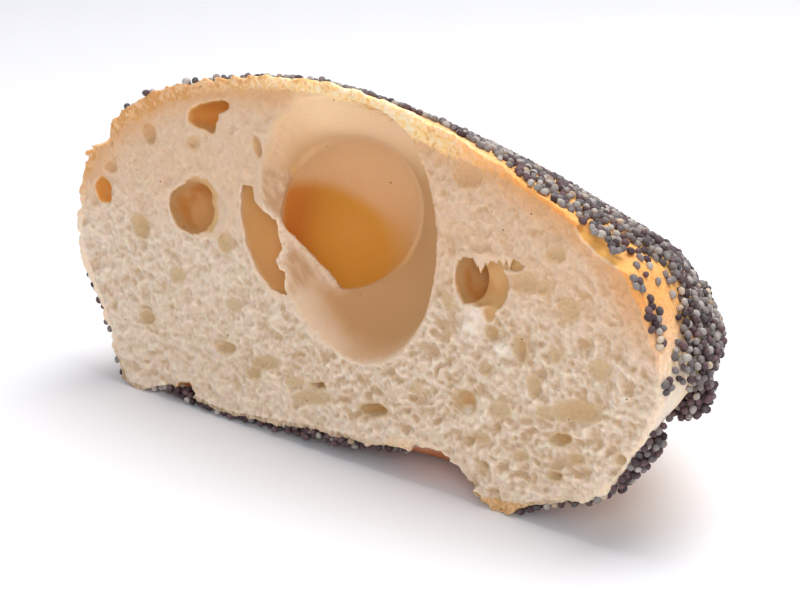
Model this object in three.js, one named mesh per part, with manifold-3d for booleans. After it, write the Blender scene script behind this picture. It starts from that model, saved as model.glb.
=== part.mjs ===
// The cut half of a poppy seed bread roll, in millimetres, +Z up.
// The cut face is the plane y = 0 and looks along -Y. The domed crust runs back from it along +Y.
// The half lies on the flat middle of its base. Crust, crumb and seeds hold together as one solid.

import * as THREE from "three";
import { mergeVertices } from "three/addons/utils/BufferGeometryUtils.js";
import Module from "manifold-3d";

const wasm = await Module();
wasm.setup();

// Driving sizes of the half roll.
const DEPTH = 42; // from the cut face to the back of the crust
const AXIS_X = 53; // the upright axis that the sections shrink towards
const SHOULDER_Z = 22.5; // the height where the sides are widest
const SIDE_POWER = 2.05; // how full the ends are in plan
const TOP_POWER = 2.2; // how full the top is from front to back
const TOP_DROP = 0.55; // share of the top's height lost steadily towards the back
const BASE_POWER = 2.2; // how the base turns up at the back
const BASE_FLAT = 0.62; // share of the depth over which the base stays flat
const FLAT_ENDS = [76, 98]; // x where the flat base fades into the rounded right end
const TEAR_DEPTH = 11; // how far back the torn front of the base reaches

// The cut edge, as x from the left end and z from the floor. A smooth closed curve runs through it.
// Where the cut has torn the base, the last two numbers give the unbroken base behind the tear.
const CUT_EDGE = [
  // left end, from the foot up
  [9.2, 0, 14, 1.4],
  [4.5, 9.7, 4.2, 9],
  [0, 19.5],
  [0.3, 27.4],
  [2.9, 35.4],
  [9.8, 42.5],
  // crust over the top
  [19.4, 47.9],
  [36.2, 52.1],
  [52.8, 53.3],
  [71.8, 50.2],
  [88.1, 44.4],
  // right end, from the crust down to the torn corner that stands on the floor
  [99, 38.9],
  [104.2, 30],
  [106, 22.6],
  [101.8, 13.5, 100, 14.5],
  [97, 7.1, 93, 8],
  [88, 3.2, 85.5, 3],
  [79.5, 0, 77.5, 0],
  // hollows under the front edge, back to the foot
  [74, 4.2, 74, 0],
  [68.5, 6.1, 68, 0],
  [59.7, 3.8, 58, 0],
  [44.7, 2.6, 46, 0],
  [28.7, 1, 32, 0],
  [18.4, 2.2, 22, 0],
];
const STEPS_PER_POINT = 3;
const DEPTH_ROWS = 12;

// Large air bubbles: centre, half sizes, and the lean of the upright axis about y in degrees.
const MAIN_BOWL = { at: [54.8, -1.5, 33.8], half: [14.7, 12.5, 18.1], lean: -8 };
const DEEP_BUBBLE = { at: [49.5, 9, 32.7], half: [13, 11.5, 10.5], lean: 0 };
const SIDE_BUBBLE = { at: [39.4, 2, 30.4], half: [6.1, 8.5, 10], lean: -15 };
const SEPTUM = 0.9; // thickness of the skin left between neighbouring bubbles

// Smaller holes of the cut face: x, z, half width, half height, depth and lean.
const HOLES = [
  [27.4, 44.6, 4.2, 2, 6, -18], // under the crust at the upper left
  [25.2, 31, 4.9, 3.8, 7, 0], // round hole left of the main bubble
  [6, 29.9, 1.9, 1.9, 5, 0], // small hole in the left end
  [75.2, 31, 3, 3.1, 8, 0], // torn double hole, left half
  [80.6, 31.6, 3.2, 2.9, 5, 0], // torn double hole, right half
  [95.8, 38.3, 2.8, 1.1, 4, 32], // slit under the crust at the right
  [21.5, 2.4, 2.3, 1.3, 4, 0], // dark hole in the lower left edge
  [1.8, 38.4, 3.4, 1.5, 5, -40], // tear in the crust at the left shoulder
];

// Cells that stand out on the cut face: x, z, half width and half height.
const CELLS = [
  [58.3, 8.9, 2.6, 1],
  [47.7, 8.2, 3.2, 1.1],
  [92.7, 17.4, 4, 1.4],
  [74.5, 13.8, 1.9, 1.6],
  [90.4, 13.3, 1.9, 0.9],
  [89.2, 8.2, 2, 0.8],
  [38.2, 10.9, 2.5, 0.8],
  [30.4, 11.1, 1.8, 0.8],
  [13.7, 11.9, 1.6, 0.9],
  [12.9, 26.1, 1.8, 2],
  [15.7, 40.9, 1.6, 1.6],
  [84.8, 19.6, 2.2, 1.2],
  [91.6, 30.8, 1.6, 1.6],
  [75.2, 43.8, 2.2, 1.3],
];
const SMALL_CELLS = 12;

// Poppy seeds: the real kidney form, simplified to a few faces.
const SEED_LENGTH = 1.25;
const SEED_WIDTH = 1.05;
const SEED_HEIGHT = 0.95;
const SEED_SINK = 0.3; // how deep a seed sits in the crust
const SEED_COUNT = 110;
const SEED_SPACING = 4.2; // between seeds spread over the dome
const SEED_PITCH = 0.56; // how closely the seeds of a heap lie
// Heaps of seeds baked together at the right end: share round the edge, share of depth, seeds by layer.
const SEED_HEAPS = [
  { around: 0.575, back: 0.3, layers: [9, 5, 2] },
  { around: 0.62, back: 0.21, layers: [7, 3] },
  { around: 0.52, back: 0.34, layers: [7, 3] },
];

// A repeatable stream of numbers from 0 to 1.
let randomState = 20260;
function random() {
  randomState = (randomState * 1664525 + 1013904223) % 4294967296;
  return randomState / 4294967296;
}

function smoothstep(low, high, value) {
  return THREE.MathUtils.smoothstep(value, low, high);
}

// The curves of the cut edge and of the unbroken section behind it, sampled so that each point is kept.
function closedCurve(points) {
  return new THREE.CatmullRomCurve3(points, true, "catmullrom", 0.5);
}
const cutCurve = closedCurve(CUT_EDGE.map(([x, z]) => new THREE.Vector3(x, 0, z)));
const wholeCurve = closedCurve(
  CUT_EDGE.map(([x, z, wholeX = x, wholeZ = z]) => new THREE.Vector3(wholeX, 0, wholeZ)),
);
const EDGE_STEPS = CUT_EDGE.length * STEPS_PER_POINT;

// Where a point of the cut edge has moved to at a share of the depth, 0 at the cut and 1 at the back.
function sectionPoint(around, back) {
  const turn = ((around % 1) + 1) % 1;
  const y = back * DEPTH;
  const edge = cutCurve.getPoint(turn).lerp(wholeCurve.getPoint(turn), smoothstep(0, TEAR_DEPTH, y));
  const narrowing = (power, share) => Math.max(0, 1 - share ** power) ** (1 / power);
  const x = AXIS_X + (edge.x - AXIS_X) * narrowing(SIDE_POWER, back);
  if (edge.z > SHOULDER_Z) {
    const rise = (1 - TOP_DROP * back) * narrowing(TOP_POWER, back);
    return new THREE.Vector3(x, y, SHOULDER_Z + (edge.z - SHOULDER_Z) * rise);
  }
  const flat = BASE_FLAT * (1 - smoothstep(...FLAT_ENDS, edge.x));
  const turned = Math.max(0, (back - flat) / (1 - flat));
  const z = SHOULDER_Z - (SHOULDER_Z - Math.max(0, edge.z)) * narrowing(BASE_POWER, turned);
  return new THREE.Vector3(x, y, z);
}

// The outward direction of the crust there.
function crustNormal(around, back) {
  const step = 0.004;
  const along = sectionPoint(around + step, back).sub(sectionPoint(around - step, back));
  const inward = sectionPoint(around, back + step).sub(sectionPoint(around, back - step));
  return along.cross(inward).normalize();
}

function toManifold(geometry) {
  const bare = geometry.clone();
  bare.deleteAttribute("normal");
  bare.deleteAttribute("uv");
  const merged = mergeVertices(bare, 1e-4);
  return new wasm.Manifold(
    new wasm.Mesh({
      numProp: 3,
      vertProperties: merged.attributes.position.array,
      triVerts: new Uint32Array(merged.index.array),
    }),
  );
}

function toGeometry(solid) {
  const mesh = solid.getMesh();
  const geometry = new THREE.BufferGeometry();
  geometry.setAttribute("position", new THREE.BufferAttribute(mesh.vertProperties, 3));
  geometry.setIndex(new THREE.BufferAttribute(mesh.triVerts, 1));
  geometry.computeVertexNormals();
  return geometry;
}

// The dome: rows of the cut edge that shrink towards the back, closed by the cut face and a far point.
function buildDome() {
  const positions = [];
  const faces = [];
  for (let row = 0; row < DEPTH_ROWS; row += 1) {
    const back = Math.sin((row / DEPTH_ROWS) * (Math.PI / 2));
    for (let step = 0; step < EDGE_STEPS; step += 1) {
      positions.push(...sectionPoint(step / EDGE_STEPS, back).toArray());
    }
  }
  const tip = positions.length / 3;
  positions.push(AXIS_X, DEPTH, SHOULDER_Z);
  for (let step = 0; step < EDGE_STEPS; step += 1) {
    const next = (step + 1) % EDGE_STEPS;
    for (let row = 0; row < DEPTH_ROWS - 1; row += 1) {
      const a = row * EDGE_STEPS + step;
      const b = row * EDGE_STEPS + next;
      faces.push(a, b, a + EDGE_STEPS, b, b + EDGE_STEPS, a + EDGE_STEPS);
    }
    const last = (DEPTH_ROWS - 1) * EDGE_STEPS;
    faces.push(last + step, last + next, tip);
  }
  const front = [];
  for (let step = 0; step < EDGE_STEPS; step += 1) {
    front.push(new THREE.Vector2(positions[step * 3], positions[step * 3 + 2]));
  }
  const clockwise = THREE.ShapeUtils.isClockWise(front);
  for (const [a, b, c] of THREE.ShapeUtils.triangulateShape(front, [])) {
    const agrees = THREE.ShapeUtils.isClockWise([front[a], front[b], front[c]]) === clockwise;
    faces.push(a, agrees ? c : b, agrees ? b : c);
  }
  const geometry = new THREE.BufferGeometry();
  geometry.setAttribute("position", new THREE.Float32BufferAttribute(positions, 3));
  geometry.setIndex(faces);
  return toManifold(geometry);
}

// An ellipsoid with its upright axis leaning to the right by some degrees.
function ellipsoid({ at, half, lean = 0 }, grow = 0, detail = 3) {
  const geometry = new THREE.IcosahedronGeometry(1, detail);
  geometry.scale(half[0] + grow, half[1] + grow, half[2] + grow);
  geometry.rotateY(THREE.MathUtils.degToRad(lean));
  geometry.translate(...at);
  return toManifold(geometry);
}

// The crescent bubble beside the main one, held apart from it by a thin skin.
function sideBubble() {
  return ellipsoid(SIDE_BUBBLE, 0, 3)
    .subtract(ellipsoid(MAIN_BOWL, SEPTUM, 4))
    .subtract(ellipsoid(DEEP_BUBBLE, SEPTUM, 4));
}

function bubbles() {
  const cuts = [ellipsoid(MAIN_BOWL, 0, 5), ellipsoid(DEEP_BUBBLE, 0, 4), sideBubble()];
  for (const [x, z, wide, high, deep, lean] of HOLES) {
    cuts.push(ellipsoid({ at: [x, 0.2 * deep, z], half: [wide, 0.8 * deep, high], lean }, 0, 2));
  }
  for (const [x, z, wide, high] of CELLS) {
    cuts.push(ellipsoid({ at: [x, 0, z], half: [wide, high * 1.4, high] }, 0, 1));
  }
  return cuts;
}

function insideCutEdge(x, z, margin) {
  const ring = [];
  for (let step = 0; step < EDGE_STEPS; step += 1) {
    ring.push(sectionPoint(step / EDGE_STEPS, 0));
  }
  let inside = false;
  for (let i = 0, j = ring.length - 1; i < ring.length; j = i, i += 1) {
    if (Math.hypot(ring[i].x - x, ring[i].z - z) < margin) return false;
    const crosses = ring[i].z > z !== ring[j].z > z;
    const at = ring[i].x + ((z - ring[i].z) / (ring[j].z - ring[i].z)) * (ring[j].x - ring[i].x);
    if (crosses && x < at) inside = !inside;
  }
  return inside;
}

// Small cells between the larger holes, flatter towards the base.
function smallCells() {
  const taken = [
    { x: MAIN_BOWL.at[0], z: MAIN_BOWL.at[2], room: 21 },
    { x: SIDE_BUBBLE.at[0], z: SIDE_BUBBLE.at[2], room: 11 },
  ];
  for (const [x, z, wide] of [...HOLES, ...CELLS]) taken.push({ x, z, room: wide + 2.4 });
  const cells = [];
  while (cells.length < SMALL_CELLS) {
    const x = random() * 106;
    const z = random() * 52;
    const free = taken.every((other) => Math.hypot(other.x - x, other.z - z) > other.room);
    if (!free || !insideCutEdge(x, z, 4)) continue;
    const wide = 1 + random() * 0.9;
    const high = z < 18 ? wide * 0.55 : wide * 0.9;
    taken.push({ x, z, room: wide + 3 });
    cells.push(ellipsoid({ at: [x, 0, z], half: [wide, high * 1.3, high] }, 0, 1));
  }
  return cells;
}

// One seed at a place, its long axis turned at random.
function seed(place) {
  const geometry = new THREE.SphereGeometry(0.5, 5, 3);
  geometry.scale(SEED_LENGTH, SEED_WIDTH, SEED_HEIGHT);
  const turn = new THREE.Euler(random() * 6.28, random() * 6.28, random() * 6.28);
  geometry.applyQuaternion(new THREE.Quaternion().setFromEuler(turn));
  geometry.translate(...place.toArray());
  return toManifold(geometry);
}

function crustPlace(around, back, lift) {
  return sectionPoint(around, back).addScaledVector(crustNormal(around, back), lift);
}

// Seeds spread evenly over the top, back and right end, with fewer at the left end and none on the base.
function spreadSeeds() {
  const places = [];
  let tries = 0;
  while (places.length < SEED_COUNT && tries < 20000) {
    tries += 1;
    const around = random();
    const back = 0.03 + 0.95 * random();
    const normal = crustNormal(around, back);
    const place = crustPlace(around, back, SEED_WIDTH / 2 - SEED_SINK);
    const bare = place.z < 2 || normal.z < -0.45 || (place.x < 12 && random() < 0.7);
    if (bare) continue;
    if (places.every((other) => other.distanceTo(place) > SEED_SPACING)) places.push(place);
  }
  return places;
}

// Seeds stacked in layers, each a spiral of fewer seeds than the one below it.
function heapSeeds({ around, back, layers }) {
  const normal = crustNormal(around, back);
  const side = new THREE.Vector3(0, 0, 1).cross(normal).normalize();
  const up = normal.clone().cross(side);
  const goldenAngle = Math.PI * (3 - Math.sqrt(5));
  return layers.flatMap((seeds, layer) =>
    Array.from({ length: seeds }, (_, i) => {
      const reach = SEED_PITCH * Math.sqrt(i);
      const angle = i * goldenAngle + layer;
      return crustPlace(around, back, 0.2 + layer * SEED_HEIGHT * 0.7)
        .addScaledVector(side, Math.cos(angle) * reach)
        .addScaledVector(up, Math.sin(angle) * reach);
    }),
  );
}

// The largest piece alone, so that loose scraps and sealed hollows drop out.
function largestBody(solid) {
  return solid.decompose().reduce((best, body) => (body.volume() > best.volume() ? body : best));
}

function buildRoll() {
  let solid = buildDome();
  for (const cut of [...bubbles(), ...smallCells()]) solid = solid.subtract(cut);
  const places = [...spreadSeeds(), ...SEED_HEAPS.flatMap(heapSeeds)];
  for (const place of places) solid = solid.add(seed(place));
  return toGeometry(largestBody(solid));
}

const roll = new THREE.Mesh(
  buildRoll(),
  new THREE.MeshStandardMaterial({ color: 0xe6d2b2, roughness: 0.85, metalness: 0 }),
);
roll.name = "roll";

// The origin goes to the floor below the middle of the half roll.
roll.geometry.computeBoundingBox();
const { min, max } = roll.geometry.boundingBox;
roll.position.set(-(min.x + max.x) / 2, -(min.y + max.y) / 2, -min.z);

const group = new THREE.Group();
group.add(roll);

export default group;
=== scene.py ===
"""The cut half of a graham roll with poppy seeds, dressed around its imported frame.

Lengths in the classes are millimetres in the roll's measuring frame: x from the left end of the cut
edge, y from the cut face backwards, and z from the floor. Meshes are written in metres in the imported
frame, whose origin is on the floor below the middle of the roll.
"""

import logging
import math
from dataclasses import dataclass, field
from enum import Enum

import bpy
import numpy as np
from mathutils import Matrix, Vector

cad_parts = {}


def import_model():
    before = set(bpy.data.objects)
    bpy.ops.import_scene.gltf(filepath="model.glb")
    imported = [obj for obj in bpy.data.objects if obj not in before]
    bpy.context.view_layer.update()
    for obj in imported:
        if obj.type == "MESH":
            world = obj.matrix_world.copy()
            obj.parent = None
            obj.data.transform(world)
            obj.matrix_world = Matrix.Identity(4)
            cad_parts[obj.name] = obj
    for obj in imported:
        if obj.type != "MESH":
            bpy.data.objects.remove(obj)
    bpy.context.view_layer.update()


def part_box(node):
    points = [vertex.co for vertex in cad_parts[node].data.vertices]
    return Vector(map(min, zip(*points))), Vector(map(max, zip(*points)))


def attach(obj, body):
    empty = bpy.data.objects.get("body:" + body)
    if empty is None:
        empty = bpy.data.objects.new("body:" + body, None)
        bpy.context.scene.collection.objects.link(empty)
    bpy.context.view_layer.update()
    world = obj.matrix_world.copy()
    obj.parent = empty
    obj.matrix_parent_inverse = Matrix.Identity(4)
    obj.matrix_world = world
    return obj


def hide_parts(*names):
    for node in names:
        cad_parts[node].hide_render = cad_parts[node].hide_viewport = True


Colour = tuple[float, float, float]
Point = tuple[float, float, float]
Span = tuple[float, float]
Array = np.ndarray
Socket = bpy.types.NodeSocket

LOG = logging.getLogger("graham_roll")
MM = 0.001
NODE = "roll"


def smooth_step(low: float, high: float, value: Array) -> Array:
    """Rise smoothly from 0 at low to 1 at high.

    Args:
        low: where the rise starts.
        high: where the rise ends.
        value: the numbers to map.

    Returns:
        The mapped numbers, from 0 to 1.
    """
    share = np.clip((value - low) / (high - low), 0.0, 1.0)
    return share * share * (3.0 - 2.0 * share)


def blended(first: Array, second: Array, width: float) -> Array:
    """Join two distance fields with a rounded crease.

    Args:
        first: the distances to one shape.
        second: the distances to the other shape.
        width: how wide the rounding is.

    Returns:
        The distances to both shapes as one.
    """
    near = np.maximum(width - np.abs(first - second), 0.0) / width
    return np.minimum(first, second) - near * near * width * 0.25


def closed_curve(points: Array, turn: Array) -> Array:
    """Follow a smooth closed curve through the points.

    Args:
        points: the curve's points, one a row.
        turn: shares of the way round, from 0 to 1.

    Returns:
        One point for each share.
    """
    count = len(points)
    along = (np.asarray(turn, float) % 1.0) * count
    first = np.floor(along).astype(int) % count
    share = (along - np.floor(along))[:, None]
    before, here, after, beyond = (points[(first + step) % count] for step in (-1, 0, 1, 2))
    bend = 2 * before - 5 * here + 4 * after - beyond
    twist = 3 * here - before - 3 * after + beyond
    return 0.5 * (2 * here + (after - before) * share + bend * share**2 + twist * share**3)


@dataclass(frozen=True)
class RollForm:
    """The outer form of the half roll: the cut edge, and how it shrinks towards the back.

    A point of the cut edge with four numbers is torn away there: the last two say where the crust
    runs once it is whole, a little behind the cut.
    """

    depth: float = 42.0
    axis_x: float = 53.0
    shoulder_z: float = 22.5
    side_power: float = 2.05
    top_power: float = 2.2
    top_drop: float = 0.55
    base_power: float = 2.2
    base_flat: float = 0.62
    flat_ends: Span = (76.0, 98.0)
    tear_depth: float = 11.0
    left_overshoot: float = 0.34
    cut_edge: tuple[tuple[float, ...], ...] = (
        (9.2, 0, 14, 1.4), (4.5, 9.7, 4.2, 9), (0, 19.5), (0.3, 27.4), (2.9, 35.4), (9.8, 42.5),
        (19.4, 47.9), (36.2, 52.1), (52.8, 53.3), (71.8, 50.2), (88.1, 44.4), (99, 38.9),
        (104.2, 30), (106, 22.6), (101.8, 13.5, 100, 14.5), (97, 7.1, 93, 8), (88, 3.2, 85.5, 3),
        (79.5, 0, 77.5, 0), (74, 4.2, 74, 0), (68.5, 6.1, 68, 0), (59.7, 3.8, 58, 0),
        (44.7, 2.6, 46, 0), (28.7, 1, 32, 0), (18.4, 2.2, 22, 0),
    )

    def at(self, turn: Array, back: Array) -> Array:
        """Give points of the crust.

        Args:
            turn: shares of the way round the cut edge.
            back: shares of the depth, 0 at the cut face and 1 at the back.

        Returns:
            One point a row.
        """
        torn = np.array([point[:2] for point in self.cut_edge], float)
        whole = np.array([point[-2:] for point in self.cut_edge], float)
        back = np.clip(np.broadcast_to(back, np.shape(turn)), 0.0, 1.0)
        y = back * self.depth
        mend = smooth_step(0.0, self.tear_depth, y)[:, None]
        edge = closed_curve(torn, turn) * (1 - mend) + closed_curve(whole, turn) * mend
        side = self.narrowing(self.side_power, back)
        x = self.axis_x + (edge[:, 0] - self.axis_x) * side
        rise = (1 - self.top_drop * back) * self.narrowing(self.top_power, back)
        flat = self.base_flat * (1 - smooth_step(*self.flat_ends, edge[:, 0]))
        turned = np.clip((back - flat) / (1 - flat), 0.0, 1.0)
        fall = self.narrowing(self.base_power, turned)
        above = np.maximum(0.0, edge[:, 1]) - self.shoulder_z
        z = self.shoulder_z + above * np.where(above > 0, rise, fall)
        return np.stack([x, y, z], axis=-1)

    @staticmethod
    def narrowing(power: float, share: Array) -> Array:
        """Give how much a size has left at a share of the depth, on a rounded profile."""
        return np.maximum(0.0, 1.0 - share**power) ** (1.0 / power)

    def outward(self, turn: Array, back: Array) -> tuple[Array, Array]:
        """Give the crust's outward directions, and its area for each unit of turn and back.

        Args:
            turn: shares of the way round the cut edge.
            back: shares of the depth.

        Returns:
            The directions, one a row, and the areas.
        """
        step = 0.004
        along = (self.at(turn + step, back) - self.at(turn - step, back)) / (2 * step)
        inward = (self.at(turn, back + step) - self.at(turn, back - step)) / (2 * step)
        outward = np.cross(along, inward)
        area = np.linalg.norm(outward, axis=-1)
        return outward / np.maximum(1e-9, area)[:, None], area


@dataclass(frozen=True)
class Bubble:
    """An air bubble: an ellipsoid whose upright axis leans to the right."""

    at: Point
    half: Point
    lean: float = 0.0

    def distance(self, points: Array) -> Array:
        """Give roughly how far points are outside the bubble, negative inside.

        Args:
            points: x, y and z in the last axis.

        Returns:
            The distances.
        """
        x, y, z = (points[..., axis] - np.float32(self.at[axis]) for axis in range(3))
        angle = math.radians(self.lean)
        wide = x * math.cos(angle) - z * math.sin(angle)
        upright = x * math.sin(angle) + z * math.cos(angle)
        scaled = [axis / half for axis, half in zip((wide, y, upright), self.half)]
        size = np.sqrt(sum(axis * axis for axis in scaled))
        slope = np.sqrt(sum((axis / half) ** 2 for axis, half in zip(scaled, self.half)))
        return size * (size - 1.0) / np.maximum(slope, 1e-6)


@dataclass
class Lattice:
    """A grid of points that is fine in x and z, and in y fine near the cut face and coarse behind."""

    pitch: float = 0.21
    middle: float = 0.36
    coarsest: float = 1.1
    growth: float = 1.07
    low: Point = (-1.4, -1.2, -0.7)
    high: Point = (107.6, 43.4, 54.8)
    fine_until: float = 2.4
    middle_until: float = 11.0
    x: Array = field(init=False)
    y: Array = field(init=False)
    z: Array = field(init=False)

    def __post_init__(self) -> None:
        """Set out the three axes."""
        self.x = np.arange(self.low[0], self.high[0], self.pitch, dtype=np.float32)
        self.z = np.arange(self.low[2], self.high[2], self.pitch, dtype=np.float32)
        rows = [self.low[1]]
        step = self.pitch
        while rows[-1] < self.high[1]:
            if rows[-1] > self.fine_until:
                limit = self.middle if rows[-1] < self.middle_until else self.coarsest
                step = min(step * self.growth, limit)
            rows.append(rows[-1] + step)
        self.y = np.array(rows, dtype=np.float32)

    @property
    def axes(self) -> tuple[Array, Array, Array]:
        """The places of the points along each axis."""
        return self.x, self.y, self.z

    @property
    def shape(self) -> tuple[int, int, int]:
        """The number of points along each axis."""
        return len(self.x), len(self.y), len(self.z)

    def window(self, centre: tuple[float, ...], reach: tuple[float, ...]) -> tuple[slice, ...]:
        """Give the slices that hold a box round a centre.

        Args:
            centre: the box's middle.
            reach: how far the box reaches each way.

        Returns:
            One slice for each axis.
        """
        slices = []
        for axis, middle, far in zip(self.axes, centre, reach):
            start, stop = np.searchsorted(axis, (middle - far, middle + far))
            slices.append(slice(int(start), int(stop)))
        return tuple(slices)

    def around(self, bubble: Bubble, margin: float) -> tuple[slice, ...]:
        """Give the slices that hold a bubble, with a margin, however it leans."""
        return self.window(bubble.at, (max(bubble.half) + margin,) * 3)

    def points(self, part: tuple[slice, ...]) -> Array:
        """Give the points of a part of the grid, with x, y and z in the last axis."""
        axes = np.meshgrid(*(axis[cut] for axis, cut in zip(self.axes, part)), indexing="ij")
        return np.stack(axes, axis=-1)

    def nearest(self, axis: int, places: Array) -> Array:
        """Give the numbers of the grid lines just past the places along an axis."""
        return np.clip(np.searchsorted(self.axes[axis], places), 0, len(self.axes[axis]) - 1)

    def across(self, x: Array, z: Array) -> tuple[Array, Array]:
        """Give the numbers of the grid lines just past places on the cut, in x and in z."""
        return self.nearest(0, x), self.nearest(2, z)

    def noise(self, cell: float, seed: int) -> Array:
        """Make smooth random numbers over the grid.

        Args:
            cell: the size of the pattern.
            seed: the random seed.

        Returns:
            Numbers around 0, mostly between -1 and 1.
        """
        counts = [int((axis[-1] - axis[0]) / cell) + 3 for axis in self.axes]
        values = np.random.default_rng(seed).uniform(-1.0, 1.0, counts).astype(np.float32)
        for number, axis in enumerate(self.axes):
            along = (axis - axis[0]) / cell
            first = along.astype(int)
            share = along - first
            share = (share * share * (3 - 2 * share)).astype(np.float32)
            share = share.reshape([-1 if n == number else 1 for n in range(3)])
            near = np.take(values, first, axis=number)
            values = near + (np.take(values, first + 1, axis=number) - near) * share
        return values

    def sample(self, values: Array, points: Array) -> Array:
        """Read grid values at free points.

        Args:
            values: one number for each grid point.
            points: the places to read, one a row.

        Returns:
            One number for each place.
        """
        index = []
        share = []
        for number, axis in enumerate(self.axes):
            place = np.clip(points[:, number], axis[0], axis[-1] - 1e-3)
            first = np.clip(np.searchsorted(axis, place, side="right") - 1, 0, len(axis) - 2)
            index.append(first)
            share.append((place - axis[first]) / (axis[first + 1] - axis[first]))
        total = np.zeros(len(points), np.float32)
        for corner in np.ndindex(2, 2, 2):
            weight = np.ones(len(points), np.float32)
            for number in range(3):
                weight = weight * (share[number] if corner[number] else 1 - share[number])
            total += weight * values[tuple(index[n] + corner[n] for n in range(3))]
        return total


def skin_of(lattice: Lattice, values: Array) -> tuple[Array, Array]:
    """Make the surface where the values change sign, negative inside.

    Each grid cell that the surface crosses gets one vertex at the mean of its crossings.

    Args:
        lattice: the grid.
        values: one number for each grid point.

    Returns:
        The vertices and the four-sided faces, which look outwards.
    """
    inside = values < 0
    count = np.zeros(tuple(n - 1 for n in values.shape), np.uint8)
    corners = list(np.ndindex(2, 2, 2))
    for i, j, k in corners:
        count += inside[i : i + count.shape[0], j : j + count.shape[1], k : k + count.shape[2]]
    crossed = (count > 0) & (count < 8)
    number = np.full(crossed.shape, -1, np.int32)
    cells = np.argwhere(crossed)
    number[crossed] = np.arange(len(cells), dtype=np.int32)
    total = np.zeros((len(cells), 3), np.float32)
    hits = np.zeros(len(cells), np.float32)
    for corner in corners:
        for axis in range(3):
            if corner[axis]:
                continue
            far = tuple(1 if n == axis else corner[n] for n in range(3))
            a = values[tuple(cells[:, n] + corner[n] for n in range(3))]
            b = values[tuple(cells[:, n] + far[n] for n in range(3))]
            hit = (a < 0) != (b < 0)
            share = np.where(hit, a / np.where(hit, a - b, 1), 0)
            for n in range(3):
                total[:, n] += np.where(hit, share if n == axis else corner[n], 0)
            hits += hit
    local = total / hits[:, None]
    vertices = np.empty_like(local)
    for n, axis in enumerate(lattice.axes):
        start = axis[cells[:, n]]
        vertices[:, n] = start + local[:, n] * (axis[cells[:, n] + 1] - start)
    faces = []
    for axis in range(3):
        second, third = (axis + 1) % 3, (axis + 2) % 3
        near = np.take(inside, range(inside.shape[axis] - 1), axis=axis)
        far = np.take(inside, range(1, inside.shape[axis]), axis=axis)
        edges = np.argwhere(near != far)
        middle = (edges[:, second] > 0) & (edges[:, third] > 0)
        middle &= edges[:, second] < count.shape[second]
        middle &= edges[:, third] < count.shape[third]
        edges = edges[middle]
        outward = near[tuple(edges.T)]
        ring = []
        for back_second, back_third in ((1, 1), (0, 1), (0, 0), (1, 0)):
            place = edges.copy()
            place[:, second] -= back_second
            place[:, third] -= back_third
            ring.append(number[tuple(place.T)])
        quads = np.stack(ring, axis=-1)
        faces.append(np.where(outward[:, None], quads, quads[:, ::-1]))
    return vertices, np.concatenate(faces)


def largest_part(vertices: Array, faces: Array) -> tuple[Array, Array]:
    """Keep the largest connected part of a mesh.

    Args:
        vertices: one vertex a row.
        faces: one face a row, as vertex numbers.

    Returns:
        The vertices and faces of that part.
    """
    label = np.arange(len(vertices))
    pairs = np.concatenate([faces[:, [0, 1]], faces[:, [1, 2]], faces[:, [2, 3]]])
    while True:
        low = np.minimum(label[pairs[:, 0]], label[pairs[:, 1]])
        new = label.copy()
        np.minimum.at(new, label[pairs[:, 0]], low)
        np.minimum.at(new, label[pairs[:, 1]], low)
        new = new[new]
        if np.array_equal(new, label):
            break
        label = new
    names, counts = np.unique(label, return_counts=True)
    keep = label == names[np.argmax(counts)]
    renumber = np.cumsum(keep) - 1
    return vertices[keep], renumber[faces[keep[faces[:, 0]]]]


@dataclass(frozen=True)
class Placement:
    """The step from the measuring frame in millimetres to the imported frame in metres."""

    shift: Point

    def metres(self, points: Array) -> Array:
        """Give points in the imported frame."""
        return (np.asarray(points, float) + np.array(self.shift)) * MM

    @classmethod
    def from_frame(cls, form: RollForm) -> "Placement":
        """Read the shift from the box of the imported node."""
        low = np.array(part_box(NODE)[0]) / MM
        return cls((low[0] + form.left_overshoot, low[1], low[2]))


def mesh_object(name: str, vertices: Array, faces: Array) -> bpy.types.Object:
    """Make a smooth-shaded object from arrays.

    Args:
        name: the object's name.
        vertices: one vertex a row, in metres.
        faces: one face a row, all with the same number of corners.

    Returns:
        The object, linked to the scene.
    """
    mesh = bpy.data.meshes.new(name)
    sides = faces.shape[1]
    mesh.vertices.add(len(vertices))
    mesh.vertices.foreach_set("co", np.asarray(vertices, np.float32).ravel())
    mesh.loops.add(faces.size)
    mesh.loops.foreach_set("vertex_index", np.asarray(faces, np.int32).ravel())
    mesh.polygons.add(len(faces))
    mesh.polygons.foreach_set("loop_start", np.arange(len(faces), dtype=np.int32) * sides)
    mesh.update(calc_edges=True)
    mesh.validate()
    mesh.shade_smooth()
    made = bpy.data.objects.new(name, mesh)
    bpy.context.scene.collection.objects.link(made)
    return made


def thinned(made: bpy.types.Object, triangles: int) -> bpy.types.Object:
    """Reduce an object's mesh to about a number of triangles, keeping its form."""
    mesh = made.data
    now = sum(max(1, polygon.loop_total - 2) for polygon in mesh.polygons)
    if now > triangles:
        thin = made.modifiers.new("thin", "DECIMATE")
        thin.ratio = triangles / now
        thin.use_collapse_triangulate = True
        graph = bpy.context.evaluated_depsgraph_get()
        reduced = bpy.data.meshes.new_from_object(made.evaluated_get(graph))
        made.modifiers.clear()
        made.data = reduced
        bpy.data.meshes.remove(mesh)
        made.data.shade_smooth()
    return made


def vertex_places(mesh: bpy.types.Mesh) -> Array:
    """Give a mesh's vertices, one a row."""
    places = np.empty(len(mesh.vertices) * 3, np.float32)
    mesh.vertices.foreach_get("co", places)
    return places.reshape(-1, 3)


def add_mask(mesh: bpy.types.Mesh, name: str, values: Array) -> None:
    """Store one number for each vertex, for the material to read."""
    mesh.attributes.new(name, "FLOAT", "POINT").data.foreach_set("value", values.astype(np.float32))


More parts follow.
